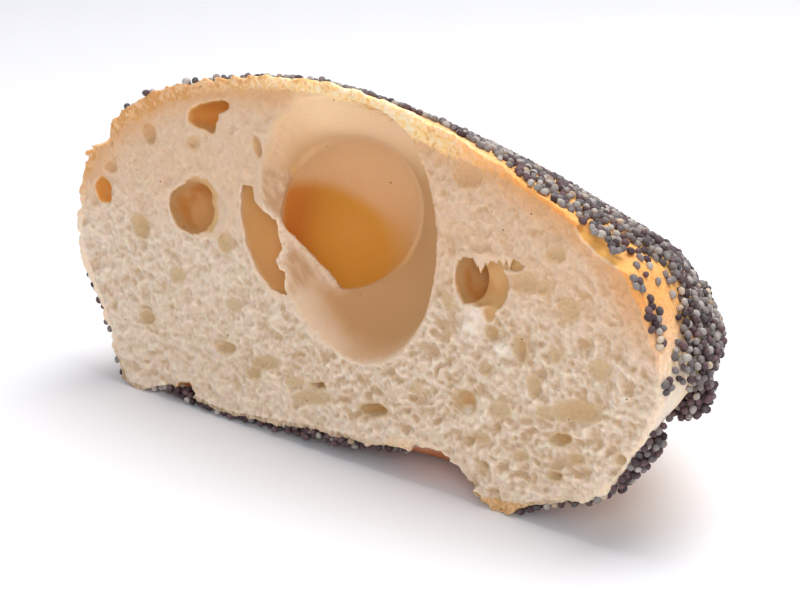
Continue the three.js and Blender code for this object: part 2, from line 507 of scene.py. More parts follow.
@dataclass
class Hollows:
    """The large bubbles that the cut opens: the main bowl, what lies behind it, and single holes."""

    lattice: Lattice
    steep_bowl: Bubble = Bubble((56.75, -1.5, 33.64), (12.7, 12.5, 17.9), 9.9)
    wide_bowl: Bubble = Bubble((53.2, -7.0, 33.75), (17.0, 12.5, 21.8), -11.7)
    deep_bubble: Bubble = Bubble((47.6, 7.5, 32.9), (8.7, 11.0, 10.5), 11.4)
    inner_bubble: Bubble = Bubble((45.0, 11.0, 29.3), (7.6, 7.8, 7.0))
    side_bubble: Bubble = Bubble((39.9, 2.0, 30.8), (6.1, 6.5, 9.6), -15)
    bowl_crease: float = 3.0
    inner_crease: float = 2.5
    septum: float = 0.5
    septum_tear: float = 0.22
    shell: float = 0.55
    side_film: float = 1.8
    side_cover: float = 0.6
    lip_corner: Span = (40.6, 31.3)
    lip_normal: Span = (0.761, 0.648)
    lip_crease: Span = (0.3, 6.5)
    lip_softens: Span = (2.0, 12.0)
    lip_ragged: float = 0.3
    side_top: float = 36.3
    side_ragged: float = 0.35
    side_edge: tuple[Span, ...] = (
        (19.0, 44.0), (22.3, 42.4), (24.0, 41.8), (26.3, 40.5), (28.0, 41.2),
        (30.5, 40.6), (32.1, 39.8), (33.4, 38.3), (34.2, 36.9), (36.6, 36.2),
    )
    bowl_fray: float = 0.10
    hole_fray: float = 0.15
    hole_crease: float = 0.4
    hole_margin: float = 2.0
    # The part of the grid where the bubbles are worked out.
    whole: float = 8.0
    open_middle: Point = (51.0, 8.0, 33.5)
    open_reach: Point = (22.0, 18.0, 23.0)
    # How near each wall a mask begins and is complete.
    past_bowl: Span = (0.0, 2.2)
    at_deep: Span = (1.2, 0.5)
    over_hollow: Span = (1.0, -1.2)
    at_bowl: Span = (0.9, 0.3)
    at_side: Span = (0.8, 0.3)
    off_bowl: Span = (0.3, 0.9)
    at_hole: Span = (1.5, 0.9)
    side_torn: Span = (1.3, 0.2)
    side_torn_top: Span = (37.5, 36.0)
    lip_torn: Span = (0.9, 0.1)
    # Where the deep bubble's lower wall gets painted glow, and a spot of painted shade within it.
    glow_corner: Point = (40.0, 11.8, 34.2)
    glow_slope: Span = (-0.6, -0.35)
    glow_fade: Span = (1.8, 5.5)
    glow_widens: Span = (42.0, 50.0)
    glow_shade_spot: Point = (39.8, 4.5, 31.0)
    glow_shade_reach: Span = (10.0, 3.5)
    ledge: Bubble = Bubble((26.1, -2.1, 31.7), (6.4, 3.3, 5.8))
    holes: tuple[Bubble, ...] = (
        Bubble((26.7, 1.4, 44.6), (3.1, 4.8, 1.7), -12),
        Bubble((28.2, 0.9, 46.1), (4.0, 3.8, 1.0), -19),
        Bubble((27.8, 1.0, 43.6), (1.4, 3.2, 1.1)),
        Bubble((23.2, 1.6, 30.4), (4.1, 5.0, 3.6)),
        Bubble((24.6, 0.7, 33.2), (2.6, 1.5, 1.7)),
        Bubble((5.2, 0.9, 29.8), (1.7, 3.0, 1.9)),
        Bubble((74.5, 1.5, 31.1), (1.9, 5.6, 3.3), -4),
        Bubble((78.6, 0.0, 31.7), (3.0, 2.3, 3.7)),
        Bubble((76.7, 0.3, 31.5), (2.4, 2.2, 3.4)),
        Bubble((81.9, 0.0, 34.9), (2.3, 0.75, 0.8)),
        Bubble((78.4, 0.0, 27.7), (0.9, 0.8, 1.6), 8),
        Bubble((96.7, 1.0, 40.2), (4.9, 5.2, 1.45), 23),
        Bubble((21.5, 0.8, 2.4), (1.9, 3.4, 1.2)),
    )

    def bowl(self, points: Array) -> Array:
        """Give the distances to the open bowl."""
        wide = self.wide_bowl.distance(points)
        return blended(self.steep_bowl.distance(points), wide, self.bowl_crease)

    def depths(self, points: Array) -> Array:
        """Give the distances to the bubble behind the bowl, with its inner hollow."""
        deep = self.deep_bubble.distance(points)
        return blended(deep, self.inner_bubble.distance(points), self.inner_crease)

    def past_lip(self, points: Array) -> Array:
        """Give how far points are past the straight torn lip, where the deep bubble is open."""
        across = (points[..., 0] - self.lip_corner[0]) * self.lip_normal[0]
        return across + (points[..., 2] - self.lip_corner[1]) * self.lip_normal[1]

    def past_side_edge(self, points: Array) -> Array:
        """Give how far points are to the right of the side bubble's torn edge."""
        height, edge = np.array(self.side_edge).T
        return points[..., 0] - np.interp(points[..., 2], height, edge).astype(np.float32)

    def fill(self, tear: Array, fray: Array) -> Array:
        """Make the distances to the bubbles, negative in their air.

        Args:
            tear: noise over the grid that makes the thin edges ragged.
            fray: noise near the cut that makes the holes' rims uneven.

        Returns:
            One distance for each grid point.
        """
        grid = self.lattice
        air = np.full(grid.shape, self.whole, np.float32)
        part = grid.window(self.open_middle, self.open_reach)
        points = grid.points(part)
        frayed = tear[part]
        bowl, deep = self.bowl(points), self.depths(points)
        past_lip = self.past_lip(points) + self.lip_ragged * frayed
        opened = np.maximum(deep, -past_lip)
        narrow, broad = self.lip_crease
        crease = narrow + (broad - narrow) * smooth_step(*self.lip_softens, past_lip)
        front = blended(bowl, opened, crease)
        behind = np.maximum(deep, self.shell - bowl)
        side = np.maximum(self.side_bubble.distance(points), self.septum - deep)
        torn = self.past_side_edge(points) + self.side_ragged * frayed
        torn = np.maximum(torn, points[..., 2] - self.side_top)
        guard = np.maximum(self.septum - bowl, self.side_film - points[..., 1])
        guard = np.maximum(guard, points[..., 2] - self.side_top - self.side_cover)
        hidden = np.maximum(side, guard + self.septum_tear * frayed)
        side = np.minimum(np.maximum(side, torn), hidden)
        air[part] = np.minimum(np.minimum(front, behind), side) + self.bowl_fray * fray[part]
        for hole in (*self.holes, self.ledge):
            part = grid.around(hole, self.hole_margin)
            opening = hole.distance(grid.points(part)) + self.hole_fray * fray[part]
            air[part] = blended(air[part], opening, self.hole_crease)
        return air

    def masks(self, points: Array) -> dict[str, Array]:
        """Say which bubble's wall each place belongs to, from 0 to 1.

        Args:
            points: the places, one a row.

        Returns:
            The values by the mask's name.
        """
        bowl, deep = self.bowl(points), self.depths(points)
        behind = smooth_step(*self.past_bowl, bowl) * smooth_step(*self.at_deep, deep)
        beside = points - np.array(self.glow_corner)
        below = beside[:, 0] * self.glow_slope[0] + beside[:, 1] * self.glow_slope[1] - beside[:, 2]
        narrow, wider = self.glow_fade
        fading = narrow + wider * smooth_step(*self.glow_widens, points[:, 0])
        ember = np.linalg.norm(points - np.array(self.glow_shade_spot), axis=1)
        side = self.side_bubble.distance(points)
        film = smooth_step(*self.over_hollow, np.minimum(deep, side))
        film *= smooth_step(*self.at_bowl, np.abs(bowl))
        aside = smooth_step(*self.at_side, np.abs(side)) * smooth_step(*self.off_bowl, bowl)
        side_tear = smooth_step(*self.side_torn, np.abs(self.past_side_edge(points)))
        side_tear *= smooth_step(*self.side_torn_top, points[:, 2])
        lip_tear = smooth_step(*self.lip_torn, np.abs(self.past_lip(points)))
        holes = np.min([np.abs(hole.distance(points)) for hole in self.holes], axis=0)
        return {
            "behind": behind,
            # painted glow below a slanted edge, and painted shade round one spot
            "amber": behind * smooth_step(-fading, fading, below),
            "ember": smooth_step(*self.glow_shade_reach, ember),
            "film": film,
            "torn": film * np.maximum(side_tear, lip_tear),
            "aside": aside * (1 - behind),
            "small": smooth_step(*self.at_hole, holes),
        }


@dataclass
class Crumb:
    """The fine, torn cells of the crumb at the cut, with the larger ones listed.

    Each pocket is given by x, z, half width, half height and half depth, each tuft by x, z, width
    and height.
    """

    lattice: Lattice
    cell_seed: int = 7
    grit_seed: int = 9
    fringe_seed: int = 5
    count: int = 60_000
    cell_x: Span = (-0.5, 106.5)
    cell_z: Span = (0.0, 53.5)
    usual_half: float = 0.40
    left_half: float = 0.30
    left_x: Span = (30.0, 60.0)
    left_z: Span = (16.0, 30.0)
    crust_share: float = 0.62
    crust_reach: Span = (1.0, 6.0)
    least_under: float = 0.3
    half_spread: float = 0.6
    half_limits: Span = (0.2, 1.4)
    stretch: Span = (0.8, 1.25)
    width_shares: Span = (1.2, 0.45)
    height_shares: Span = (0.9, -0.28)
    slope: Span = (0.16, 0.3)
    crust_slope: float = -0.75
    slant_x: Span = (72.0, 98.0)
    slant_z: Span = (14.0, 26.0)
    cup_depth: Span = (0.12, 0.55)
    cup_power: float = 1.1
    overlap: float = 0.6
    flattened_below: Span = (8.0, 24.0)
    # Wider, shallower dents.
    dents: int = 320
    dent_half: Span = (1.0, 2.4)
    dent_flat: float = 0.3
    dent_depth: Span = (0.15, 0.45)
    dent_power: float = 1.2
    # How rough the crumb is, and where it is calmer.
    lively: float = 0.95
    calm_left: float = 0.26
    calm_left_x: Span = (30.0, 55.0)
    calm_high: float = 0.34
    calm_high_z: Span = (22.0, 38.0)
    grit: float = 0.22
    pocket_lean: float = -14.0
    pocket_scale: Point = (1.05, 1.15, 1.1)
    pocket_lift: float = 0.15
    pocket_margin: float = 1.0
    nothing_near: float = 2.0
    pockets: tuple[tuple[float, ...], ...] = (
        (78.6, 24.6, 0.9, 1.1, 1.2), (83.3, 23.5, 1.0, 1.6, 1.4), (85.9, 19.5, 1.0, 1.1, 1.0),
        (77.9, 19.7, 0.9, 0.7, 0.9), (71.0, 22.6, 0.8, 0.9, 0.7), (71.4, 27.3, 0.7, 1.1, 0.8),
        (91.3, 30.9, 1.6, 1.5, 0.8), (89.3, 37.9, 1.5, 0.9, 0.6), (89.1, 24.2, 0.9, 0.9, 0.8),
        (30.1, 11.1, 1.8, 0.8, 1.2), (13.7, 11.9, 1.5, 0.9, 1.3), (38.1, 10.8, 2.7, 0.8, 0.9),
        (35.7, 8.6, 1.5, 0.75, 1.0), (43.8, 9.3, 1.7, 0.6, 0.7), (47.8, 9.7, 1.6, 0.45, 1.8),
        (47.1, 7.8, 3.3, 0.8, 0.7), (58.2, 8.8, 2.7, 0.9, 2.4), (74.3, 14.0, 2.0, 1.6, 1.9),
        (80.6, 14.5, 1.6, 1.1, 0.8), (75.3, 8.9, 0.9, 0.6, 1.2), (77.5, 9.9, 1.2, 0.7, 1.0),
        (77.8, 6.0, 0.9, 0.6, 1.4), (92.9, 17.4, 3.9, 1.5, 1.2), (90.2, 13.0, 1.8, 0.8, 2.0),
        (84.2, 32.9, 2.2, 1.3, 0.9), (87.4, 33.0, 1.3, 0.8, 0.6), (92.7, 10.9, 1.5, 0.6, 0.9),
        (89.6, 7.8, 1.3, 0.6, 1.5), (96.2, 23.9, 1.9, 1.2, 0.8), (99.8, 12.8, 0.8, 0.7, 1.0),
        (15.5, 40.3, 1.3, 1.4, 1.1), (24.8, 40.6, 1.2, 0.7, 0.6), (37.2, 42.3, 0.6, 1.4, 1.2),
        (12.9, 25.8, 1.9, 1.8, 1.0), (30.6, 27.0, 1.3, 1.3, 0.8), (7.1, 33.7, 1.3, 0.8, 0.9),
        (74.9, 45.1, 2.6, 1.3, 1.0), (88.0, 16.0, 1.6, 0.9, 0.7), (66.0, 14.0, 1.2, 0.6, 0.6),
        (20.5, 20.0, 1.7, 1.0, 0.6), (32.0, 18.0, 1.6, 0.8, 0.6), (84.0, 9.0, 1.4, 0.6, 0.8),
    )
    tufts: tuple[tuple[float, ...], ...] = (
        (76.2, 27.0, 1.5, 1.3), (75.4, 24.9, 1.5, 1.1), (80.3, 22.9, 1.6, 0.9), (74.6, 12.7, 0.9, 0.5),
    )
    tuft_height: float = 0.45
    tuft_share: float = 0.9
    fringe_from: Span = (73.4, 34.4)
    fringe_to: Span = (81.4, 35.4)
    fringe_y: float = 0.3
    fringe_count: int = 10
    fringe_aside: float = 0.25
    fringe_drop: Span = (0.4, 1.3)
    fringe_half: Span = (0.45, 0.8)
    fringe_rough: float = 0.12
    fringe_window: Point = (1.2, 1.2, 2.2)
    fringe_middle: float = 0.5
    fringe_taper: Span = (-1.0, 1.2)
    fringe_flat: float = 1.3
    fringe_root: float = 0.6
    clump_x: float = 77.0
    clump_width: float = 1.1
    clump_drop: float = 1.1
    clump_half: float = 0.35

    def cell_size(self, x: Array, z: Array, under_crust: Array) -> Array:
        """Give the usual half width of cells: finer at the upper left and near the crust."""
        left = (1 - smooth_step(*self.left_x, x)) * smooth_step(*self.left_z, z)
        half = self.usual_half + (self.left_half - self.usual_half) * left
        inner = smooth_step(*self.crust_reach, under_crust)
        return half * (self.crust_share + (1 - self.crust_share) * inner)

    def liveliness(self) -> Array:
        """Give how rough the crumb is for each x and z of the grid: calmer at the left and high up."""
        left = 1 - smooth_step(*self.calm_left_x, self.lattice.x)
        high = smooth_step(*self.calm_high_z, self.lattice.z)
        return self.lively - self.calm_left * left[:, None] - self.calm_high * high[None, :]

    def press(
        self, cups: Array, at: Span, half: Span, slope: float, deep: float, power: float
    ) -> None:
        """Press one cup into a map of depths.

        Args:
            cups: the map, changed in place.
            at: the cup's x and z.
            half: its half width and half height.
            slope: how much it rises to the right.
            deep: its depth.
            power: how steep its edge is, less for steeper.
        """
        grid = self.lattice
        reach = (half[0], 0.0, half[1] + abs(slope) * half[0])
        part = grid.window((at[0], 0.0, at[1]), reach)
        aside = (grid.x[part[0]] - at[0])[:, None]
        above = (grid.z[part[2]] - at[1])[None, :] - slope * aside
        inside = np.maximum(0.0, 1 - (aside / half[0]) ** 2 - (above / half[1]) ** 2)
        here = cups[part[0], part[2]]
        np.maximum(here, deep * inside**power, out=here)

    def foam(self, under_crust: Array) -> Array:
        """Pack cells along the cut, large ones first, each opened as a shallow cup.

        Args:
            under_crust: how deep under the crust the cut face lies, for each x and z of the grid.

        Returns:
            How deep the cups go behind the cut face, for each x and z of the grid.
        """
        grid = self.lattice
        random = np.random.default_rng(self.cell_seed)
        x = random.uniform(*self.cell_x, self.count)
        z = random.uniform(*self.cell_z, self.count)
        column, line = grid.across(x, z)
        under = under_crust[column, line]
        size = self.cell_size(x, z, under) * random.lognormal(0.0, self.half_spread, self.count)
        size = np.clip(size, *self.half_limits)
        depth = size * random.uniform(*self.cup_depth, self.count)
        stretch = random.uniform(*self.stretch, (self.count, 2))
        along_crust = smooth_step(*self.slant_x, x) * smooth_step(*self.slant_z, z)
        slope = random.normal(*self.slope, self.count) + self.crust_slope * along_crust
        low = 1 - smooth_step(*self.flattened_below, z)
        wide, high = (
            size * stretch[:, n] * (usual + lower * low)
            for n, (usual, lower) in enumerate((self.width_shares, self.height_shares))
        )
        cups = np.zeros((len(grid.x), len(grid.z)), np.float32)
        for n in np.argsort(-size):
            open_here = cups[column[n], line[n]] < self.overlap * depth[n]
            if under[n] > self.least_under and open_here:
                self.press(cups, (x[n], z[n]), (wide[n], high[n]), slope[n], depth[n], self.cup_power)
        dents = np.zeros_like(cups)
        for n in range(self.dents):
            half = random.uniform(*self.dent_half, 2) * (1, 1 - self.dent_flat * low[n])
            deep = random.uniform(*self.dent_depth)
            self.press(dents, (x[n], z[n]), half, slope[n], deep, self.dent_power)
        return cups + dents

    def wavered(self, cups: Array, aside: Array, above: Array) -> Array:
        """Make the cups' outlines uneven by reading each place from a little beside it.

        Args:
            cups: the depths for each x and z of the grid.
            aside: how far beside, in x.
            above: how far above, in z.

        Returns:
            The uneven depths.
        """
        pitch = self.lattice.pitch
        i = np.clip(np.arange(cups.shape[0])[:, None] + aside / pitch, 0, cups.shape[0] - 1.01)
        j = np.clip(np.arange(cups.shape[1])[None, :] + above / pitch, 0, cups.shape[1] - 1.01)
        left, down = i.astype(int), j.astype(int)
        across, upward = i - left, j - down
        low = cups[left, down] * (1 - across) + cups[left + 1, down] * across
        high = cups[left, down + 1] * (1 - across) + cups[left + 1, down + 1] * across
        return (low * (1 - upward) + high * upward).astype(np.float32)

    def gritty(self) -> Array:
        """Give fine random unevenness for each x and z of the grid."""
        shape = (len(self.lattice.x), len(self.lattice.z))
        random = np.random.default_rng(self.grit_seed)
        return self.grit * softened(random.normal(0.0, 1.0, shape).astype(np.float32), 1)

    def fluff(self) -> Array:
        """Give how strongly places of the cut stand out as white, fluffy tufts, from 0 to 1."""
        grid = self.lattice
        fluff = np.zeros((len(grid.x), len(grid.z)), np.float32)
        for x, z, wide, high in self.tufts:
            away = ((grid.x - x) / wide)[:, None] ** 2 + ((grid.z - z) / high)[None, :] ** 2
            fluff = np.maximum(fluff, self.tuft_share * np.exp(-away))
        return fluff

    def placed(self, relief: Array) -> Array:
        """Give distances to the larger pockets, negative in their air."""
        grid = self.lattice
        pockets = np.full(grid.shape, self.nothing_near, np.float32)
        for x, z, wide, high, deep in self.pockets:
            y = float(relief[grid.across(np.array(x), np.array(z))])
            half = tuple(size * scale for size, scale in zip((wide, deep, high), self.pocket_scale))
            pocket = Bubble((x, y - self.pocket_lift * deep, z), half, self.pocket_lean)
            part = grid.window(pocket.at, tuple(size + self.pocket_margin for size in half))
            pockets[part] = np.minimum(pockets[part], pocket.distance(grid.points(part)))
        return pockets

    def fringe(self, rough: Array) -> Array:
        """Give distances to the torn film that hangs in points over one hole.

        Args:
            rough: noise over the grid that makes it ragged.

        Returns:
            Distances, negative inside the film.
        """
        grid = self.lattice
        random = np.random.default_rng(self.fringe_seed)
        film = np.full(grid.shape, self.nothing_near, np.float32)
        for share in np.linspace(0, 1, self.fringe_count):
            x, z = (a + share * (b - a) for a, b in zip(self.fringe_from, self.fringe_to))
            x += random.uniform(-self.fringe_aside, self.fringe_aside)
            clump = math.exp(-(((x - self.clump_x) / self.clump_width) ** 2))
            tip = z - random.uniform(*self.fringe_drop) - self.clump_drop * clump
            base = random.uniform(*self.fringe_half) + self.clump_half * clump
            part = grid.window((x, self.fringe_y, z - self.fringe_middle), self.fringe_window)
            points = grid.points(part)
            rise = (points[..., 2] - tip) / (z - tip)
            radius = base * np.clip(rise, *self.fringe_taper)
            inward = (points[..., 1] - self.fringe_y) * self.fringe_flat
            aside = np.hypot(points[..., 0] - x, inward)
            point = np.maximum(aside - radius, points[..., 2] - z - self.fringe_root)
            film[part] = np.minimum(film[part], point + self.fringe_rough * rough[part])
        return film


def softened(values: Array, reach: int) -> Array:
    """Average a map over squares that reach a number of places each way."""
    for axis in (0, 1):
        values = sum(np.roll(values, step, axis) for step in range(-reach, reach + 1)) / (2 * reach + 1)
    return values


@dataclass
class Bread:
    """The crumb and crust in one mesh, with its bubbles, cells and torn edges."""

    form: RollForm
    place: Placement
    lattice: Lattice = field(default_factory=Lattice)
    triangles: int = 197_000
    skin: float = 0.3
    crust: float = 0.4
    outline_samples: int = 360
    back_margin: float = 0.02
    noise_seed: int = 3
    noise_cells: Point = (0.6, 1.5, 8.0)
    cut_reach: Span = (0.3, 3.0)
    fray_shares: Span = (0.6, 1.3)
    relief_shares: Span = (0.30, 0.22)
    waver_shares: Span = (0.32, 0.45)
    waver_offsets: tuple[tuple[int, int], ...] = ((0, 8), (4, 14))
    fluff_calms: float = 0.5
    face_fine: float = 0.11
    face_offset: int = 6
    pore_fine: float = 0.16
    pore_rough: float = 0.25
    cup_sharp: int = 3
    face_thick: float = 0.3
    wall_from: float = 0.05
    wall_reach: Span = (0.3, 1.3)
    in_pocket: Span = (0.45, 0.05)
    crust_swell: float = 0.22
    crust_rough: Span = (0.11, 0.25)
    crust_fine: float = 0.18
    bite_rough: float = 0.2
    flake_rough: float = 0.25
    scrap_margin: float = 1.0
    soft_x: tuple[Span, Span] = ((35.0, 39.0), (45.0, 53.0))
    soft_reach: Span = (0.7, 1.6)
    left_rim_x: Span = (49.0, 57.0)
    left_rim_z: Span = (36.0, 30.0)
    bites: tuple[Bubble, ...] = (
        Bubble((2.2, 0.0, 39.3), (5.2, 3.4, 2.5), 12),
        Bubble((6.9, -0.4, 37.6), (1.2, 2.0, 0.9)),
    )
    flakes: tuple[Bubble, ...] = (
        Bubble((3.2, 0.9, 34.9), (1.7, 1.3, 0.75), -8),
        Bubble((6.2, 0.8, 36.2), (1.9, 1.2, 0.6), -20),
        Bubble((63.5, 0.5, 5.6), (2.0, 0.9, 1.0), 28),
    )
    body: Array = field(init=False)

    def fill_body(self) -> None:
        """Fill the grid with distances to the crust, negative inside."""
        grid = self.lattice
        turn = np.linspace(0, 1, self.outline_samples, endpoint=False)
        x, z = np.meshgrid(grid.x - self.form.axis_x, grid.z - self.form.shoulder_z, indexing="ij")
        angle = np.arctan2(z, x)
        reach = np.hypot(x, z)
        values = np.empty(grid.shape, np.float32)
        for row, y in enumerate(grid.y):
            if y >= self.form.depth - self.back_margin:
                values[:, row, :] = reach + (y - self.form.depth)
                continue
            section = self.form.at(turn, np.full(len(turn), max(0.0, float(y)) / self.form.depth))
            side = section[:, 0] - self.form.axis_x
            rise = section[:, 2] - self.form.shoulder_z
            order = np.argsort(np.arctan2(rise, side))
            known = np.arctan2(rise, side)[order]
            radius = np.hypot(side, rise)[order]
            values[:, row, :] = reach - np.interp(angle, known, radius, period=2 * np.pi)
        slope = np.gradient(values, grid.y, axis=1)
        values /= np.sqrt(1 + slope * slope)
        self.body = np.maximum(values, -grid.z[None, None, :])

    def soft_rim(self, x: Array) -> Array:
        """Say where the crumb runs softly into the bowl, beside its left rim."""
        rise, fall = self.soft_x
        return smooth_step(*rise, x) * (1 - smooth_step(*fall, x))

    def outside(self, fine: Array, rough: Array, broad: Array) -> Array:
        """Give distances to the uneven crust, with its bites and flakes.

        Args:
            fine: the finest noise over the grid.
            rough: coarser noise.
            broad: the broadest noise.

        Returns:
            Distances, negative inside.
        """
        grid = self.lattice
        near_cut = 1 - smooth_step(*self.cut_reach, grid.y)[None, :, None]
        usual, more = self.crust_rough
        outside = self.body + self.crust_swell * broad + (usual + more * near_cut) * rough
        outside = np.maximum(outside + self.crust_fine * fine * near_cut, -grid.z[None, None, :])
        for bite in self.bites:
            part = grid.around(bite, self.scrap_margin)
            gone = self.bite_rough * rough[part] - bite.distance(grid.points(part))
            outside[part] = np.maximum(outside[part], gone)
        for flake in self.flakes:
            part = grid.around(flake, self.scrap_margin)
            scrap = flake.distance(grid.points(part)) + self.flake_rough * fine[part]
            outside[part] = np.minimum(outside[part], scrap)
        return outside

    def build(self) -> bpy.types.Object:
        """Make the bread's mesh and its masks.

        Returns:
            The object, with the masks that its material reads.
        """
        grid = self.lattice
        self.fill_body()
        fine, rough, broad = (
            grid.noise(cell, self.noise_seed + n) for n, cell in enumerate(self.noise_cells)
        )
        front = int(grid.nearest(1, np.array(0.0)))
        near_cut = 1 - smooth_step(*self.cut_reach, grid.y)[None, :, None]
        hollows = Hollows(grid)
        frayed = self.fray_shares[0] * rough + self.fray_shares[1] * fine
        air = hollows.fill(rough, frayed * near_cut)
        crumb = Crumb(grid)
        fluff = crumb.fluff()
        relief = (self.relief_shares[0] * broad + self.relief_shares[1] * rough)[:, front, :]
        relief = relief - crumb.tuft_height * fluff
        aside, above = (
            self.waver_shares[0] * fine[:, front + a, :] + self.waver_shares[1] * rough[:, front + b, :]
            for a, b in self.waver_offsets
        )
        cups = crumb.wavered(crumb.foam(-self.body[:, front, :]), aside, above)
        sharp, softer = self.soft_reach
        soft = self.soft_rim(grid.x)[:, None]
        calm = 1 - self.fluff_calms * fluff
        cups *= smooth_step(0.0, sharp + softer * soft, air[:, front, :]) * calm
        cups += self.face_fine * fine[:, front + self.face_offset, :] + crumb.gritty()
        cups *= crumb.liveliness()
        placed = crumb.placed(relief)
        pores = np.maximum(placed + self.pore_fine * fine, self.skin - air)
        pores = np.maximum(pores, self.body + self.crust + self.pore_rough * rough)
        face = (relief + cups)[:, None, :] - grid.y[None, :, None]
        solid = np.maximum(self.outside(fine, rough, broad), face)
        solid = np.maximum(np.maximum(solid, -air), -pores)
        solid = np.minimum(solid, crumb.fringe(fine + rough))
        vertices, faces = largest_part(*skin_of(grid, solid))
        LOG.info("bread surface has %d faces before thinning", len(faces))
        made = thinned(mesh_object("bread", self.place.metres(vertices), faces), self.triangles)
        points = vertex_places(made.data) / MM - np.array(self.place.shift, np.float32)
        column, line = grid.across(points[:, 0], points[:, 2])
        sunk = (cups + (cups - softened(cups, self.cup_sharp)))[column, line]
        usual, more = self.wall_reach
        near_air = usual + more * self.soft_rim(points[:, 0])
        left_rim = 1 - smooth_step(*self.left_rim_x, points[:, 0])
        masks = {
            "under_crust": -grid.sample(self.body, points),
            "wall": 1 - smooth_step(self.wall_from, near_air, grid.sample(air, points)),
            "inward": points[:, 1],
            "left_rim": left_rim * smooth_step(*self.left_rim_z, points[:, 2]),
            "hollow": np.maximum(sunk, points[:, 1] - relief[column, line] - self.face_thick),
            "pocket": smooth_step(*self.in_pocket, grid.sample(placed, points)),
            "fluff": fluff[column, line],
            **hollows.masks(points),
        }
        for name, values in masks.items():
            add_mask(made.data, name, values)
        return made


class SeedKind(Enum):
    """The colours that the poppy seeds come in, with each kind's share."""

    GREY = ("grey", 0.42)
    SLATE = ("slate", 0.38)
    PLUM = ("plum", 0.16)
    TAN = ("tan", 0.04)

    @property
    def label(self) -> str:
        """The kind's name."""
        return self.value[0]

    @property
    def share(self) -> float:
        """The kind's share of all seeds."""
        return self.value[1]


@dataclass(frozen=True)
class SeedHeap:
    """A heap of seeds baked together on the crust."""

    turn: float
    back: float
    radius: float
    height: float


@dataclass(frozen=True)
class SeedDrift:
    """A stretch of crust where seeds lie deeper, by its spans of the way round and back.

    The front span counts from where the seeds begin, the back span from the cut.
    """

    start: Span
    end: Span
    front: Span
    back: Span
    height: float


class Neighbours:
    """Seeds that already lie somewhere, sorted into cells so that near ones are found fast."""

    def __init__(self, distance: float) -> None:
        """Keep the least distance between two seeds."""
        self.distance = distance
        self.cells: dict[tuple[int, int, int], list[Point]] = {}

    def add(self, place: Point) -> None:
        """Add a seed."""
        cell = tuple(int(v // self.distance) for v in place)
        self.cells.setdefault(cell, []).append(place)

    def near(self, place: Point) -> list[Point]:
        """Give the seeds in the cells round a place."""
        i, j, k = (int(v // self.distance) for v in place)
        found = []
        for a in (i - 1, i, i + 1):
            for b in (j - 1, j, j + 1):
                for c in (k - 1, k, k + 1):
                    found.extend(self.cells.get((a, b, c), ()))
        return found

    def rest(self, start: list[float], up: list[float], high: float) -> float | None:
        """Find how far above its start a falling seed comes to rest.

        Args:
            start: where the seed would lie on the bare crust.
            up: the crust's outward direction.
            high: the greatest height.

        Returns:
            The height, or None if it would be higher than allowed.
        """
        rounds, touching, resting = 8, 1e-6, 1e-5
        height = 0.0
        limit = self.distance * self.distance
        for _ in range(rounds):
            raised = height
            for other in self.near(tuple(s + u * height for s, u in zip(start, up))):
                x, y, z = other[0] - start[0], other[1] - start[1], other[2] - start[2]
                along = x * up[0] + y * up[1] + z * up[2]
                aside = x * x + y * y + z * z - along * along
                if aside < limit:
                    gap = math.sqrt(limit - aside)
                    if along - gap + touching < raised < along + gap - resting:
                        raised = along + gap
            if raised > high:
                return None
            if raised <= height + touching:
                return height
            height = raised
        return None


